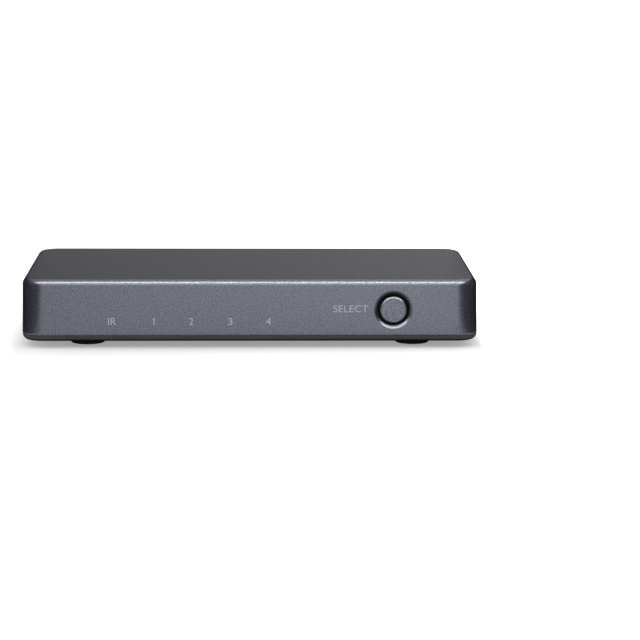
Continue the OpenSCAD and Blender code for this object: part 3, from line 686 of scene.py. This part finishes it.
def button_hole():
    """What is cut for the button: a round hole with a seat for the bezel and the sleeve's bore behind."""
    seat_r = BEZEL_R + BEZEL_PLAY
    rim_w = HOLE_EDGE_R * math.sin(math.radians(HOLE_EDGE_TURN))
    rim = arc((Y_FRONT + HOLE_EDGE_R, seat_r + rim_w), HOLE_EDGE_R, 180, 180 + HOLE_EDGE_TURN, 6)
    profile = [(Y_FRONT - OVER, seat_r + rim_w)] + rim
    profile += [(BEZEL_HIGH.y, seat_r), (BEZEL_HIGH.y, HOLE_R), (Y_FRONT_IN, HOLE_R)]
    profile += [(Y_FRONT_IN, SLEEVE_R), (Y_FRONT_IN + SLEEVE_L + OVER, SLEEVE_R)]
    return spun_y(profile, (X_BUTTON, Z_BUTTON))


def wall_pockets():
    """What is cut behind the numerals and the receiver's mark, which leaves thin windows."""
    wanted = [("ir_receiver", RECEIVER_POCKET_W)]
    wanted += [(f"lamp_{i + 1}", LAMP_POCKET_W) for i in range(LAMP_COUNT)]
    z_low = Z_BOARD_TOP - POCKET_H / 2
    made = []
    for name, width in wanted:
        x, _ = middle(*box_mm(name))
        low = (x - width / 2, Y_FRONT + WINDOW_T, z_low)
        high = (x + width / 2, Y_FRONT_IN + OVER, z_low + POCKET_H)
        made.append(block(low, high))
    return joined(made)


def button_bezel():
    """The polished ring round the button, sloping inwards."""
    first, last = (math.sin(math.radians(angle)) for angle in BEZEL_SLOPE)
    radius = (BEZEL_R - HOLE_R) / (last - first)
    y_centre = BEZEL_LOW.y + BEZEL_TOP + radius * math.sqrt(1 - first * first)
    centre = (y_centre, BEZEL_R + radius * first)
    face = arc(centre, radius, 180 + BEZEL_SLOPE[0], 180 + BEZEL_SLOPE[1])
    profile = [(BEZEL_HIGH.y, BEZEL_R)] + face + [(BEZEL_HIGH.y, HOLE_R)]
    mesh = tube([upright(circle(r), y, (X_BUTTON, Z_BUTTON)) for y, r in profile])
    finish_piece(mesh, "button_bezel_ring", BEZEL, "housing", ["button_bezel"], sharp=25)


def rear_opening():
    """What is cut for the rear panel: open below, with a rounded outer edge."""
    half = PANEL_HIGH.x - PANEL_LAP
    z_high = Z_ROOF - PANEL_GAP - PANEL_LAP
    z_low = Z_RIM - 4 * OVER
    edge = arc((OPENING_EDGE_R, 0), OPENING_EDGE_R, 180, 90, 5)
    steps = [(OPENING_EDGE_R, Y_REAR + OVER)]
    steps += [(OPENING_EDGE_R - r, Y_REAR - d) for d, r in edge]
    steps += [(0.0, Y_REAR_IN - OVER)]
    at = (0, (z_low + z_high) / 2)
    rings = []
    for grow, y in steps:
        width = 2 * half + 2 * grow
        height = z_high - z_low + 2 * grow
        rings.append(upright(rounded_rectangle(width, height, OPENING_CORNER_R + grow), y, at))
    return loft(rings)


def post_ribs(x, y, z_end):
    """A screw post and its two ribs to the walls."""
    z_rib = Z_LIP + RIB_GAP
    half = RIB_T / 2
    x_low, x_high = between(x, math.copysign(BODY_W / 2 - WALL / 2, x))
    y_low, y_high = between(y, math.copysign(BODY_D / 2 - WALL / 2, y))
    post = spun_z([(Z_BOSS, POST_R), (z_end, POST_R)], (x, y))
    side_rib = block((x_low, y - half, z_rib), (x_high, y + half, z_end))
    end_rib = block((x - half, y_low, z_rib), (x + half, y_high, z_end))
    return [post, side_rib, end_rib]


def panel_stop(side, z_end):
    """A block under the roof that the rear panel leans on."""
    y_stop = PANEL_LOW.y - PANEL_GAP
    x_out = side * (PANEL_HIGH.x - STOP_INSET)
    x_low, x_high = between(x_out - side * STOP_W, x_out)
    return block((x_low, y_stop - STOP_T, Z_ROOF - STOP_H), (x_high, y_stop, z_end))


def shell_ribs():
    """Screw posts with ribs to the walls, the button's sleeve and the panel's stops."""
    z_end = Z_ROOF + WALL / 4
    made = []
    for x, y in posts():
        made += post_ribs(x, y, z_end)
    sleeve_r = SLEEVE_R + SLEEVE_T
    sleeve = [(Y_FRONT_IN - WALL / 4, sleeve_r), (Y_FRONT_IN + SLEEVE_L, sleeve_r)]
    made.append(spun_y(sleeve, (X_BUTTON, Z_BUTTON)))
    made += [panel_stop(side, z_end) for side in (-1, 1)]
    return made


def upper_shell():
    """The painted moulding: walls, posts, sleeve and stops, with all its holes."""
    mesh = add(shell_walls(), *shell_ribs())
    pilot = [(Z_BOSS - OVER, PILOT_R), (Z_BOSS + SCREW_L, PILOT_R)]
    pilots = [spun_z(pilot, at) for at in posts()]
    mesh = cut(mesh, joined(pilots), button_hole(), rear_opening(), wall_pockets())
    return finish_piece(mesh, "upper_shell_skin", PAINT, "housing", ["upper_shell"])


def base_tray():
    """Underside, rounded edge, seam edge and floor, in one closed outline."""
    under = arc((SEAM_STEP + BASE_EDGE_R, Z_BASE + BASE_EDGE_R), BASE_EDGE_R, 270, 180)
    seam = arc((SEAM_STEP + SEAM_EDGE_R, Z_FLOOR - SEAM_EDGE_R), SEAM_EDGE_R, 180, 90, 4)
    return profile_rings(under + seam)


def base_lip():
    """The lip that stands inside the shell's walls, open at the rear panel and at the button's sleeve."""
    lip_out = WALL + LIP_GAP
    lip_in = lip_out + LIP_T
    z_root = Z_FLOOR - LIP_ROOT
    z_over = Z_LIP + OVER
    z_under = z_root - OVER
    ring = tube([plan(lip_out, z_root), plan(lip_out, Z_LIP), plan(lip_in, Z_LIP), plan(lip_in, z_root)])
    y_stop = PANEL_LOW.y - PANEL_GAP - STOP_T
    half = PANEL_HIGH.x + RIB_GAP
    gap = SLEEVE_R + SLEEVE_T + RIB_GAP
    rear = block((-half, y_stop, z_under), (half, Y_REAR, z_over))
    sleeve = block((X_BUTTON - gap, Y_FRONT, z_under), (X_BUTTON + gap, Y_FRONT_IN + 2 * WALL, z_over))
    return cut(ring, rear, sleeve)


def flared_cut(outline, at, depth):
    """What is cut into the underside: an outline given for any growth, with a rounded mouth."""
    radius = UNDERSIDE_EDGE_R
    rings = [(radius, Z_BASE - OVER)]
    rings += [(radius - r, Z_BASE + d) for d, r in arc((radius, 0), radius, 180, 90, 4)]
    rings += [(0.0, Z_BASE + depth)]
    return loft([level(outline(g), z, at) for g, z in rings])


def round_cut(radius, at, depth):
    """A round recess in the underside, with a rounded mouth."""
    return flared_cut(lambda grow: circle(radius + grow), at, depth)


def vent_outline(grow):
    """Outline of one vent, moved out by grow."""
    return rounded_rectangle(VENT_W + 2 * grow, VENT_L + 2 * grow, VENT_W / 2 + grow - 0.01, 8)


def vents():
    """What is cut for two blocks of long vents."""
    made = []
    for side in (-1, 1):
        for i in range(VENT_COUNT):
            x = side * VENT_BLOCK_X + (i - (VENT_COUNT - 1) / 2) * VENT_PITCH
            made.append(flared_cut(vent_outline, (x, 0), 2 * WALL))
    return joined(made)


def feet():
    """The feet's boxes by name."""
    return {name: box_mm(name) for name in frame["nodes"] if name.startswith("foot_")}


def board_posts():
    """Where the board's screws stand, in plan."""
    return [(sx * BOARD_SCREW_X, y) for sx in (-1, 1) for y in BOARD_SCREW_Y]


def base_bosses():
    """Bosses for the housing's screws and the board's, and the block that the rear panel leans on."""
    z_root = Z_FLOOR - OVER
    y_stop = PANEL_LOW.y - PANEL_GAP
    half = PANEL_HIGH.x - 2 * POST_R
    corner = [spun_z([(z_root, POST_R), (Z_BOSS, POST_R)], at) for at in posts()]
    board = [spun_z([(z_root, BOARD_BOSS_R), (BOARD_LOW.z, BOARD_BOSS_R)], at) for at in board_posts()]
    stop = block((-half, y_stop - STOP_T, z_root), (half, y_stop, Z_FLOOR + STOP_H))
    return joined(corner), joined(board), stop


def base_holes():
    """What is cut from the base: screw holes and sinks, pilot holes, pockets for the feet, and vents."""
    hole = [(Z_BASE - OVER, SCREW_HOLE_R), (Z_BOSS + OVER, SCREW_HOLE_R)]
    pilot = [(BOARD_HIGH.z - BOARD_PILOT_L, BOARD_SCREW_R), (BOARD_LOW.z + OVER, BOARD_SCREW_R)]
    holes = [spun_z(hole, at) for at in posts()]
    sinks = [round_cut(SCREW_HEAD_R + HEAD_PLAY, at, SCREW_SINK) for at in posts()]
    pilots = [spun_z(pilot, at) for at in board_posts()]
    pockets = []
    for low, high in feet().values():
        pockets.append(round_cut((high.x - low.x) / 2 + FOOT_PLAY, middle(low, high), FOOT_SINK))
    return joined(holes), joined(sinks), joined(pilots), joined(pockets), vents()


def base():
    """The tray under the housing, with its lip, bosses, holes and vents."""
    mesh = add(base_tray(), base_lip(), *base_bosses())
    mesh = cut(mesh, *base_holes())
    return finish_piece(mesh, "base_tray_skin", BASE_PLASTIC, "housing", ["base"])


def foot_pads():
    """Round rubber feet with a soft lower edge and a shallow ring round the sole."""
    for name, (low, high) in feet().items():
        radius = (high.x - low.x) / 2
        sole = [(z, radius * share) for z, share in SOLE_RING]
        edge = [(z, r) for r, z in arc((radius - FOOT_EDGE_R, FOOT_EDGE_R), FOOT_EDGE_R, 270, 360)]
        mesh = spun_z(sole + edge + [(high.z, radius)], middle(low, high))
        finish_piece(mesh, name + "_pad", RUBBER, "housing", [name])


def cross_recess(at, z):
    """A tapered cross that is cut up into a screw's head."""
    wings = []
    for turn in (0, 90):
        rings = []
        for lift, length, width in CROSS_RINGS:
            outline = rounded_rectangle(length, width, width * 0.3, 3)
            if turn:
                outline = [(-y, x) for x, y in outline]
            rings.append(level(outline, z + lift, at))
        wings.append(loft(rings))
    return wings


def base_screws():
    """Pan-head screws that show in the underside."""
    z_seat = Z_BASE + SCREW_SINK
    z_face = z_seat - SCREW_HEAD_H
    z_tip = z_seat + SCREW_L
    profile = [(z_face + z, r) for z, r in HEAD_DOME]
    profile += [(z_seat, SCREW_HEAD_R), (z_seat, SCREW_SHANK_R)]
    profile += [(z_tip - SCREW_TIP_L, SCREW_SHANK_R), (z_tip, SCREW_TIP_R)]
    screws = [cut(spun_z(profile, at), *cross_recess(at, z_face)) for at in posts()]
    finish_piece(joined(screws), "base_screws_cross", ZINC, "housing", ["base_screws"])


def select_button():
    """Painted cap with a bevelled rim, and behind it the bare moulding with its flange and stem."""
    at = (X_BUTTON, Z_BUTTON)
    y_cap = BUTTON_LOW.y
    y_split = BEZEL_HIGH.y
    y_flange = Y_FRONT_IN + FLANGE_GAP
    y_stem = y_flange + FLANGE_T
    y_rim = y_cap + CAP_BEVEL * math.tan(math.radians(CAP_SLOPE))
    inner_r = CAP_R - CAP_EDGE
    cap = [(y_cap, CAP_R - CAP_BEVEL), (y_rim, inner_r), (y_rim + CAP_EDGE, CAP_R), (y_split, CAP_R)]
    mesh = spun_y(cap, at)
    finish_piece(mesh, "select_button_cap", PAINT, "button", ["select_button"], sharp=25)
    back = [(y_split, inner_r), (y_flange, inner_r), (y_flange, FLANGE_R)]
    back += [(y_stem, FLANGE_R), (y_stem, STEM_R), (BUTTON_HIGH.y, STEM_R)]
    finish_piece(spun_y(back, at), "select_button_moulding", MATT_PLASTIC, "button")


def snap_dome():
    """The sprung dome inside the tactile switch, given a mesh of its own."""
    low, high = box_mm("switch_dome")
    at = across(low, high)
    rise = high.y - low.y
    ball_r = (((high.x - low.x) / 2) ** 2 + rise ** 2) / (2 * rise)
    ball = (low.y + ball_r, 0)
    turns = [180 - math.degrees(math.acos((ball[0] - high.y) / r)) for r in (ball_r, ball_r - DOME_T)]
    profile = arc(ball, ball_r, 179, turns[0]) + arc(ball, ball_r - DOME_T, turns[1], 179)
    mesh = spun_y(profile, at)
    dome = finish_piece(mesh, "switch_dome_spring", TIN, "housing", ["switch_dome"])
    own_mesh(dome)


# Back of the box

def mouth_corners():
    """Corners of a socket's mouth, about the middle of its lower edge."""
    wide, narrow = MOUTH_W / 2, MOUTH_LOW_W / 2
    z_high = MOUTH_STEP_H + wide - narrow
    return [(-narrow, 0), (narrow, 0), (narrow, MOUTH_STEP_H), (wide, z_high), (wide, MOUTH_H),
            (-wide, MOUTH_H), (-wide, z_high), (-narrow, MOUTH_STEP_H)]


def mouth(grow):
    """Outline of a socket's mouth, moved out by grow."""
    return rounded_polygon(mouth_corners(), MOUTH_CORNER_R * 0.5, grow)


def socket_place(name):
    """Middle of a socket, the bottom of its mouth and the plane of its rim."""
    low, high = box_mm(name + "_shell")
    return (low.x + high.x) / 2, Z_BOARD_TOP + SHEET_T, low.y, high.y


def panel_holes():
    """What is cut from the rear panel: a bevelled hole for each socket, and one for the power inlet."""
    y_out = PANEL_HIGH.y + OVER
    y_in = PANEL_LOW.y - OVER
    y_face = PANEL_HIGH.y
    steps = [(CUTOUT_EDGE, y_out), (CUTOUT_EDGE, y_face), (0.0, y_face - CUTOUT_EDGE), (0.0, y_in)]
    holes = []
    for name in SOCKETS:
        x, z, _, _ = socket_place(name)
        holes.append(loft([upright(mouth(SHEET_T + CUTOUT_GAP + g), y, (x, z)) for g, y in steps]))
    jack_w = JACK_HIGH.x - JACK_LOW.x + 2 * CUTOUT_GAP
    jack_h = JACK_HIGH.z - JACK_LOW.z + 2 * CUTOUT_GAP
    outline = rounded_rectangle(jack_w, jack_h, JACK_CORNER_R, 5)
    holes.append(loft([upright(outline, y, across(JACK_LOW, JACK_HIGH)) for y in (y_out, y_in)]))
    return joined(holes)


def rear_panel():
    """The plate behind which the sockets stand."""
    mesh = cut(block(PANEL_LOW, PANEL_HIGH), panel_holes())
    finish_piece(mesh, "rear_panel_plate", PANEL_PLASTIC, "housing", ["rear_panel"])


def socket_shell(name):
    """Folded sheet round a socket, with a rolled rim."""
    x, z, y_in, y_rim = socket_place(name)
    edge = SHEET_EDGE_R
    roll = [(edge, 0), (edge / 3, edge / 3), (0.0, edge)]
    outer = [(SHEET_T, y_in)] + [(SHEET_T - g, y_rim - d) for g, d in reversed(roll)]
    inner = [(g, y_rim - d) for g, d in roll] + [(0.0, y_in)]
    mesh = tube([upright(mouth(g), y, (x, z)) for g, y in outer + inner])
    finish_piece(mesh, name + "_shell_sheet", TIN, "housing", [name + "_shell"], sharp=50)


# Legends

def letters(words, name):
    """Flat letters with a little thickness, as mesh data, upright in X and Y."""
    curve = bpy.data.curves.new(name, "FONT")
    curve.body = words
    curve.extrude = 0.5
    curve.offset = LEGEND_THINNING
    curve.resolution_u = 6
    outline = link(curve, name + "_outline")
    graph = bpy.context.evaluated_depsgraph_get()
    data = bpy.data.meshes.new_from_object(outline.evaluated_get(graph))
    bpy.data.objects.remove(outline)
    bpy.data.curves.remove(curve)
    return data


def legend(words, name, width, height, at, y, facing, ink, slot):
    """A printed legend on a face across Y, centred at (x, z)."""
    data = letters(words, name)
    xs = [vertex.co.x for vertex in data.vertices]
    ys = [vertex.co.y for vertex in data.vertices]
    scale_z = height / (max(ys) - min(ys))
    scale_x = width / (max(xs) - min(xs)) if width else scale_z
    middle_x = (max(xs) + min(xs)) / 2
    middle_y = (max(ys) + min(ys)) / 2
    side = -1 if facing == "rear" else 1
    for vertex in data.vertices:
        x, up, out = vertex.co
        place = (at[0] + side * (x - middle_x) * scale_x, y - side * INK_T * (out + 0.5),
                 at[1] + (up - middle_y) * scale_z)
        vertex.co = metres(place)
    mesh = bmesh.new()
    mesh.from_mesh(data)
    bpy.data.meshes.remove(data)
    bmesh.ops.remove_doubles(mesh, verts=mesh.verts, dist=1e-8)
    bmesh.ops.recalc_face_normals(mesh, faces=mesh.faces)
    return finish_piece(mesh, name, ink, "housing")


INK_T = 0.02
LEGEND_H = 2.45
LEGEND_THINNING = -0.004
Z_LAMP_LEGEND = 9.6
X_RECEIVER = -48.2
NUMERALS = (("2", -20.6, 1.45), ("3", -7.0, 1.65), ("4", 6.4, 1.75))
X_ONE = -33.75
ONE_OUTLINE = [(0.05, -1.225), (0.37, -1.225), (0.37, 1.225), (0.11, 1.225), (-0.02, 0.98), (-0.2, 0.82),
               (-0.37, 0.74), (-0.37, 0.46), (-0.14, 0.56), (0.05, 0.7)]
SELECT_SPAN = (29.1, 41.2)
Z_SELECT = 14.05
REAR_LEGEND_H = 2.0
REAR_LEGEND_RISE = 2.6
REAR_IN_SHIFT = 0.85
REAR_ONE_SHIFT = 1.9


def numeral_one(name, height, at, y, facing, ink, slot):
    """A numeral one with a flag, printed on a face across Y, centred at (x, z)."""
    side = -1 if facing == "rear" else 1
    scale = height / LEGEND_H
    outline = [(side * x * scale, z * scale) for x, z in ONE_OUTLINE]
    mesh = loft([upright(outline, depth, at) for depth in (y, y - side * INK_T)])
    finish_piece(mesh, name, ink, "housing")


def front_legend(words, name, width, at):
    """A legend printed on the front."""
    legend(words, name, width, LEGEND_H, at, Y_FRONT, "front", INK, "shell_paint")


def legends():
    """The receiver's mark, the lamps' numerals and the button's name, and the names at the back."""
    front_legend("IR", "legend_ir", None, (X_RECEIVER, Z_LAMP_LEGEND))
    numeral_one("legend_1", LEGEND_H, (X_ONE, Z_LAMP_LEGEND), Y_FRONT, "front", INK, "shell_paint")
    for words, x, width in NUMERALS:
        front_legend(words, "legend_" + words, width, (x, Z_LAMP_LEGEND))
    at = (sum(SELECT_SPAN) / 2, Z_SELECT)
    front_legend("SELECT", "legend_select", SELECT_SPAN[1] - SELECT_SPAN[0], at)
    rear_legends()


def rear_legends():
    """Names over the sockets; the first one's numeral is drawn apart."""
    for name, words in zip(SOCKETS, ("IN", "IN 2", "IN 3", "IN 4", "OUT")):
        x, z, _, _ = socket_place(name)
        z += MOUTH_H + REAR_LEGEND_RISE
        place = (PANEL_HIGH.y, "rear", REAR_INK, "base_plastic")
        if words == "IN":
            numeral_one("rear_legend_1", REAR_LEGEND_H, (x - REAR_ONE_SHIFT, z), *place)
            x += REAR_IN_SHIFT
        legend(words, "rear_legend_" + name, None, REAR_LEGEND_H, (x, z), *place)


# Stage

CAMERA_AT = (-1.1, -889.2, 154.1)
FOCAL_PX = 2464.7
IMAGE_PX = 640.0
SENSOR_MM = 36.0
PAN = 1.7193
TILT = 9.62
ROLL = 0.253
CLIP = (0.01, 20.0)

KEY_ELEVATION = 52.0
KEY_SIZE = (2.2, 0.10)
KEY_POWER = 7.9
SOFTBOX_ELEVATION = 42.0
SOFTBOX_SIZE = (1.5, 0.9)
SOFTBOX_POWER = 3.7
LAMP_DISTANCE = 0.8
ROOM_LIGHT = 0.9
BACK_LIGHT = (0.70, 1.24)
BACK_SPREAD = 0.09
FLOOR_SIZE = 8.0
FLOOR_COLOR = 0.74
# Floor glow: dimmer under and near the box, a painted shadow, and brighter to the right, painted light.
FLOOR_GLOW_IN_PAINTED_SHADOW = 0.32
FLOOR_GLOW_LEFT = 0.64
FLOOR_GLOW_RIGHT = 1.45
FLOOR_MIRRORED = 0.40
FLOOR_PAINTED_SHADOW_FROM = (80.5, 34.0, 0.0)
FLOOR_PAINTED_SHADOW_FADE = (7.0, 84.0, 1000.0)
FLAG_GAP = 12.0
FLAG_Y = (-125.0, 200.0)
FLAG_FADE_Y = -66.0
FLAG_H = 40.0
FLAG_COLOR = 0.23
FLAG_FRONT_COLOR = 0.67


def camera():
    """The photograph's view: turned a little to the right and down, and rolled a little."""
    data = bpy.data.cameras.new("camera")
    data.sensor_width = SENSOR_MM
    data.lens = FOCAL_PX * SENSOR_MM / IMAGE_PX
    data.clip_start, data.clip_end = CLIP
    pan, tilt, roll = (math.radians(a) for a in (PAN, TILT, ROLL))
    ahead = Vector((math.sin(pan) * math.cos(tilt), math.cos(pan) * math.cos(tilt), -math.sin(tilt)))
    right = ahead.cross(Vector((0, 0, 1))).normalized()
    up = right.cross(ahead)
    right_rolled = right * math.cos(roll) + up * math.sin(roll)
    up_rolled = up * math.cos(roll) - right * math.sin(roll)
    turn = Matrix((right_rolled, up_rolled, -ahead)).transposed()
    view = bpy.data.objects.new("camera", data)
    view.matrix_world = Matrix.Translation(Vector(CAMERA_AT) * MM) @ turn.to_4x4()
    bpy.context.scene.collection.objects.link(view)
    bpy.context.scene.camera = view


def aimed(data, name, at, aim):
    """Puts a lamp in the scene, turned towards a point."""
    lamp = bpy.data.objects.new(name, data)
    lamp.location = at
    lamp.rotation_euler = (Vector(aim) - Vector(at)).to_track_quat("-Z", "Y").to_euler()
    bpy.context.scene.collection.objects.link(lamp)
    return lamp


def front_lamp(name, size, power, elevation):
    """A soft lamp in front of the box, aimed at the roof's front edge, that only gloss shows."""
    data = bpy.data.lights.new(name, "AREA")
    data.shape = "RECTANGLE"
    data.size, data.size_y = size
    data.energy = power
    height = math.radians(elevation)
    aim = Vector((0, Y_FRONT, Z_TOP)) * MM
    at = aim + Vector((0, -math.cos(height), math.sin(height))) * LAMP_DISTANCE
    aimed(data, name, at, aim).visible_diffuse = False


def lights():
    """A strip that draws the bright line along the roof's front edge, and a wide softbox that softens it."""
    front_lamp("key", KEY_SIZE, KEY_POWER, KEY_ELEVATION)
    front_lamp("softbox", SOFTBOX_SIZE, SOFTBOX_POWER, SOFTBOX_ELEVATION)


def background_rays(nodes, links, mirrored):
    """One for rays that see the background straight, and a share for mirrored and refracted ones."""
    path = nodes.new("ShaderNodeLightPath")
    total = path.outputs["Is Camera Ray"]
    for name in ("Is Glossy Ray", "Is Transmission Ray"):
        step = nodes.new("ShaderNodeMath")
        step.operation = "MULTIPLY_ADD"
        step.inputs[1].default_value = mirrored
        links.new(path.outputs[name], step.inputs[0])
        links.new(total, step.inputs[2])
        total = step.outputs[0]
    return total


def floor():
    """A white floor with a glow of its own: dimmer under and near the box, a painted shadow that keeps the
    real one soft, and brighter to the right, painted light.
    """
    mesh = bmesh.new()
    bmesh.ops.create_grid(mesh, x_segments=1, y_segments=1, size=FLOOR_SIZE)
    ground = link(to_data(mesh, "floor"), "floor")
    paper = Shading("floor_paper", (FLOOR_COLOR,) * 3, 0.9, specular=0.0)
    paper.tint(paper.noise(40.0), 0.997, 1.003)
    paper.set("Emission Color", (1, 1, 1, 1))
    # Painted shadow: the glow is least under the box and rises over a given distance beyond its sides and
    # front.
    beside = paper.vector_step("ABSOLUTE", paper.place)
    beside = paper.vector_step("SUBTRACT", beside, metres(FLOOR_PAINTED_SHADOW_FROM))
    beside = paper.vector_step("MAXIMUM", beside, (0, 0, 0))
    share = paper.vector_step("DIVIDE", beside, metres(FLOOR_PAINTED_SHADOW_FADE))
    half = BODY_W / 2 * MM
    # Painted light: the full glow is brighter to the right.
    glow_painted_brighter_right = paper.spread(paper.along("X"), -half, half, FLOOR_GLOW_LEFT, FLOOR_GLOW_RIGHT)
    glow_with_painted_shadow = paper.spread(paper.vector_step("LENGTH", share), 0, 1, FLOOR_GLOW_IN_PAINTED_SHADOW, glow_painted_brighter_right)
    glow = paper.times(glow_with_painted_shadow, background_rays(paper.nodes, paper.links, FLOOR_MIRRORED))
    paper.links.new(glow, paper.shader.inputs["Emission Strength"])
    paper.clear_from_behind()
    ground.data.materials.append(paper.material)


def flags():
    """Dark cards beside the box that only reflections show, paler in front, so that its corners fall off."""
    card = Shading("flag_card", (1, 1, 1), 0.9, specular=0.0)
    fade = card.spread(card.along("Y"), FLAG_Y[0] * MM, FLAG_FADE_Y * MM, 0, 1)
    card.tint(fade, FLAG_FRONT_COLOR, FLAG_COLOR)
    for side, name in ((-1, "flag_left"), (1, "flag_right")):
        x = side * (BODY_W / 2 + FLAG_GAP)
        y_front, y_back = FLAG_Y
        corners = [(x, y_front, 0), (x, y_back, 0), (x, y_back, FLAG_H), (x, y_front, FLAG_H)]
        data = bpy.data.meshes.new(name)
        data.from_pydata([metres(corner) for corner in corners], [], [(0, 1, 2, 3)])
        flag = link(data, name)
        data.materials.append(card.material)
        flag.visible_camera = False
        flag.visible_diffuse = False
        flag.visible_shadow = False


def world():
    """A pale studio, white where it is seen, and a little brighter to the right where it is mirrored."""
    studio = bpy.data.worlds.new("studio")
    studio.use_nodes = True
    nodes = studio.node_tree.nodes
    links = studio.node_tree.links
    room = nodes["Background"]
    room.inputs["Color"].default_value = (1, 1, 1, 1)
    level_of = nodes.new("ShaderNodeMapRange")
    level_of.inputs["To Min"].default_value = ROOM_LIGHT
    split = nodes.new("ShaderNodeSeparateXYZ")
    links.new(nodes.new("ShaderNodeTexCoord").outputs["Generated"], split.inputs[0])
    seen = nodes.new("ShaderNodeMapRange")
    seen.inputs["From Min"].default_value = -BACK_SPREAD
    seen.inputs["From Max"].default_value = BACK_SPREAD
    seen.inputs["To Min"].default_value = BACK_LIGHT[0]
    seen.inputs["To Max"].default_value = BACK_LIGHT[1]
    links.new(split.outputs["X"], seen.inputs["Value"])
    links.new(seen.outputs["Result"], level_of.inputs["To Max"])
    links.new(background_rays(nodes, links, 1.0), level_of.inputs["Value"])
    straight = nodes.new("ShaderNodeMapRange")
    links.new(nodes.new("ShaderNodeLightPath").outputs["Is Camera Ray"], straight.inputs["Value"])
    links.new(level_of.outputs["Result"], straight.inputs["To Min"])
    links.new(straight.outputs["Result"], room.inputs["Strength"])
    bpy.context.scene.world = studio


CAD_MATERIALS = {
    INNER_PLASTIC: ["switch_body", "switch_plunger", "ir_receiver", "jack_body"]
    + [name + "_insulator" for name in SOCKETS],
    CHIP_EPOXY: ["switching_chip", "control_chip", "regulator", "chip_resistors"],
    TIN: ["switch_frame", "ir_shield", "crystal", "jack_pin", "jack_leaf"],
    GOLD: [name + "_contacts" for name in SOCKETS],
    ZINC: ["board_screws"],
    ALUMINIUM: ["heat_sink", "capacitor_1", "capacitor_2"],
    LAMP_PLASTIC: ["lamp_1", "lamp_2", "lamp_3", "lamp_4"],
    ACRYLIC: ["light_guide"],
    BOARD: ["main_board"],
    FERRITE: ["power_inductor"],
}


def dress_nodes():
    """Gives the CAD nodes that stay their materials."""
    for material, names in CAD_MATERIALS.items():
        for name in names:
            node = frame["nodes"][name]
            node.data.materials.clear()
            node.data.materials.append(material)


camera()
floor()
flags()
world()
lights()
upper_shell()
button_bezel()
base()
foot_pads()
base_screws()
select_button()
snap_dome()
rear_panel()
for socket in SOCKETS:
    socket_shell(socket)
legends()
dress_nodes()

scene = bpy.context.scene
scene.view_settings.view_transform = "Standard"
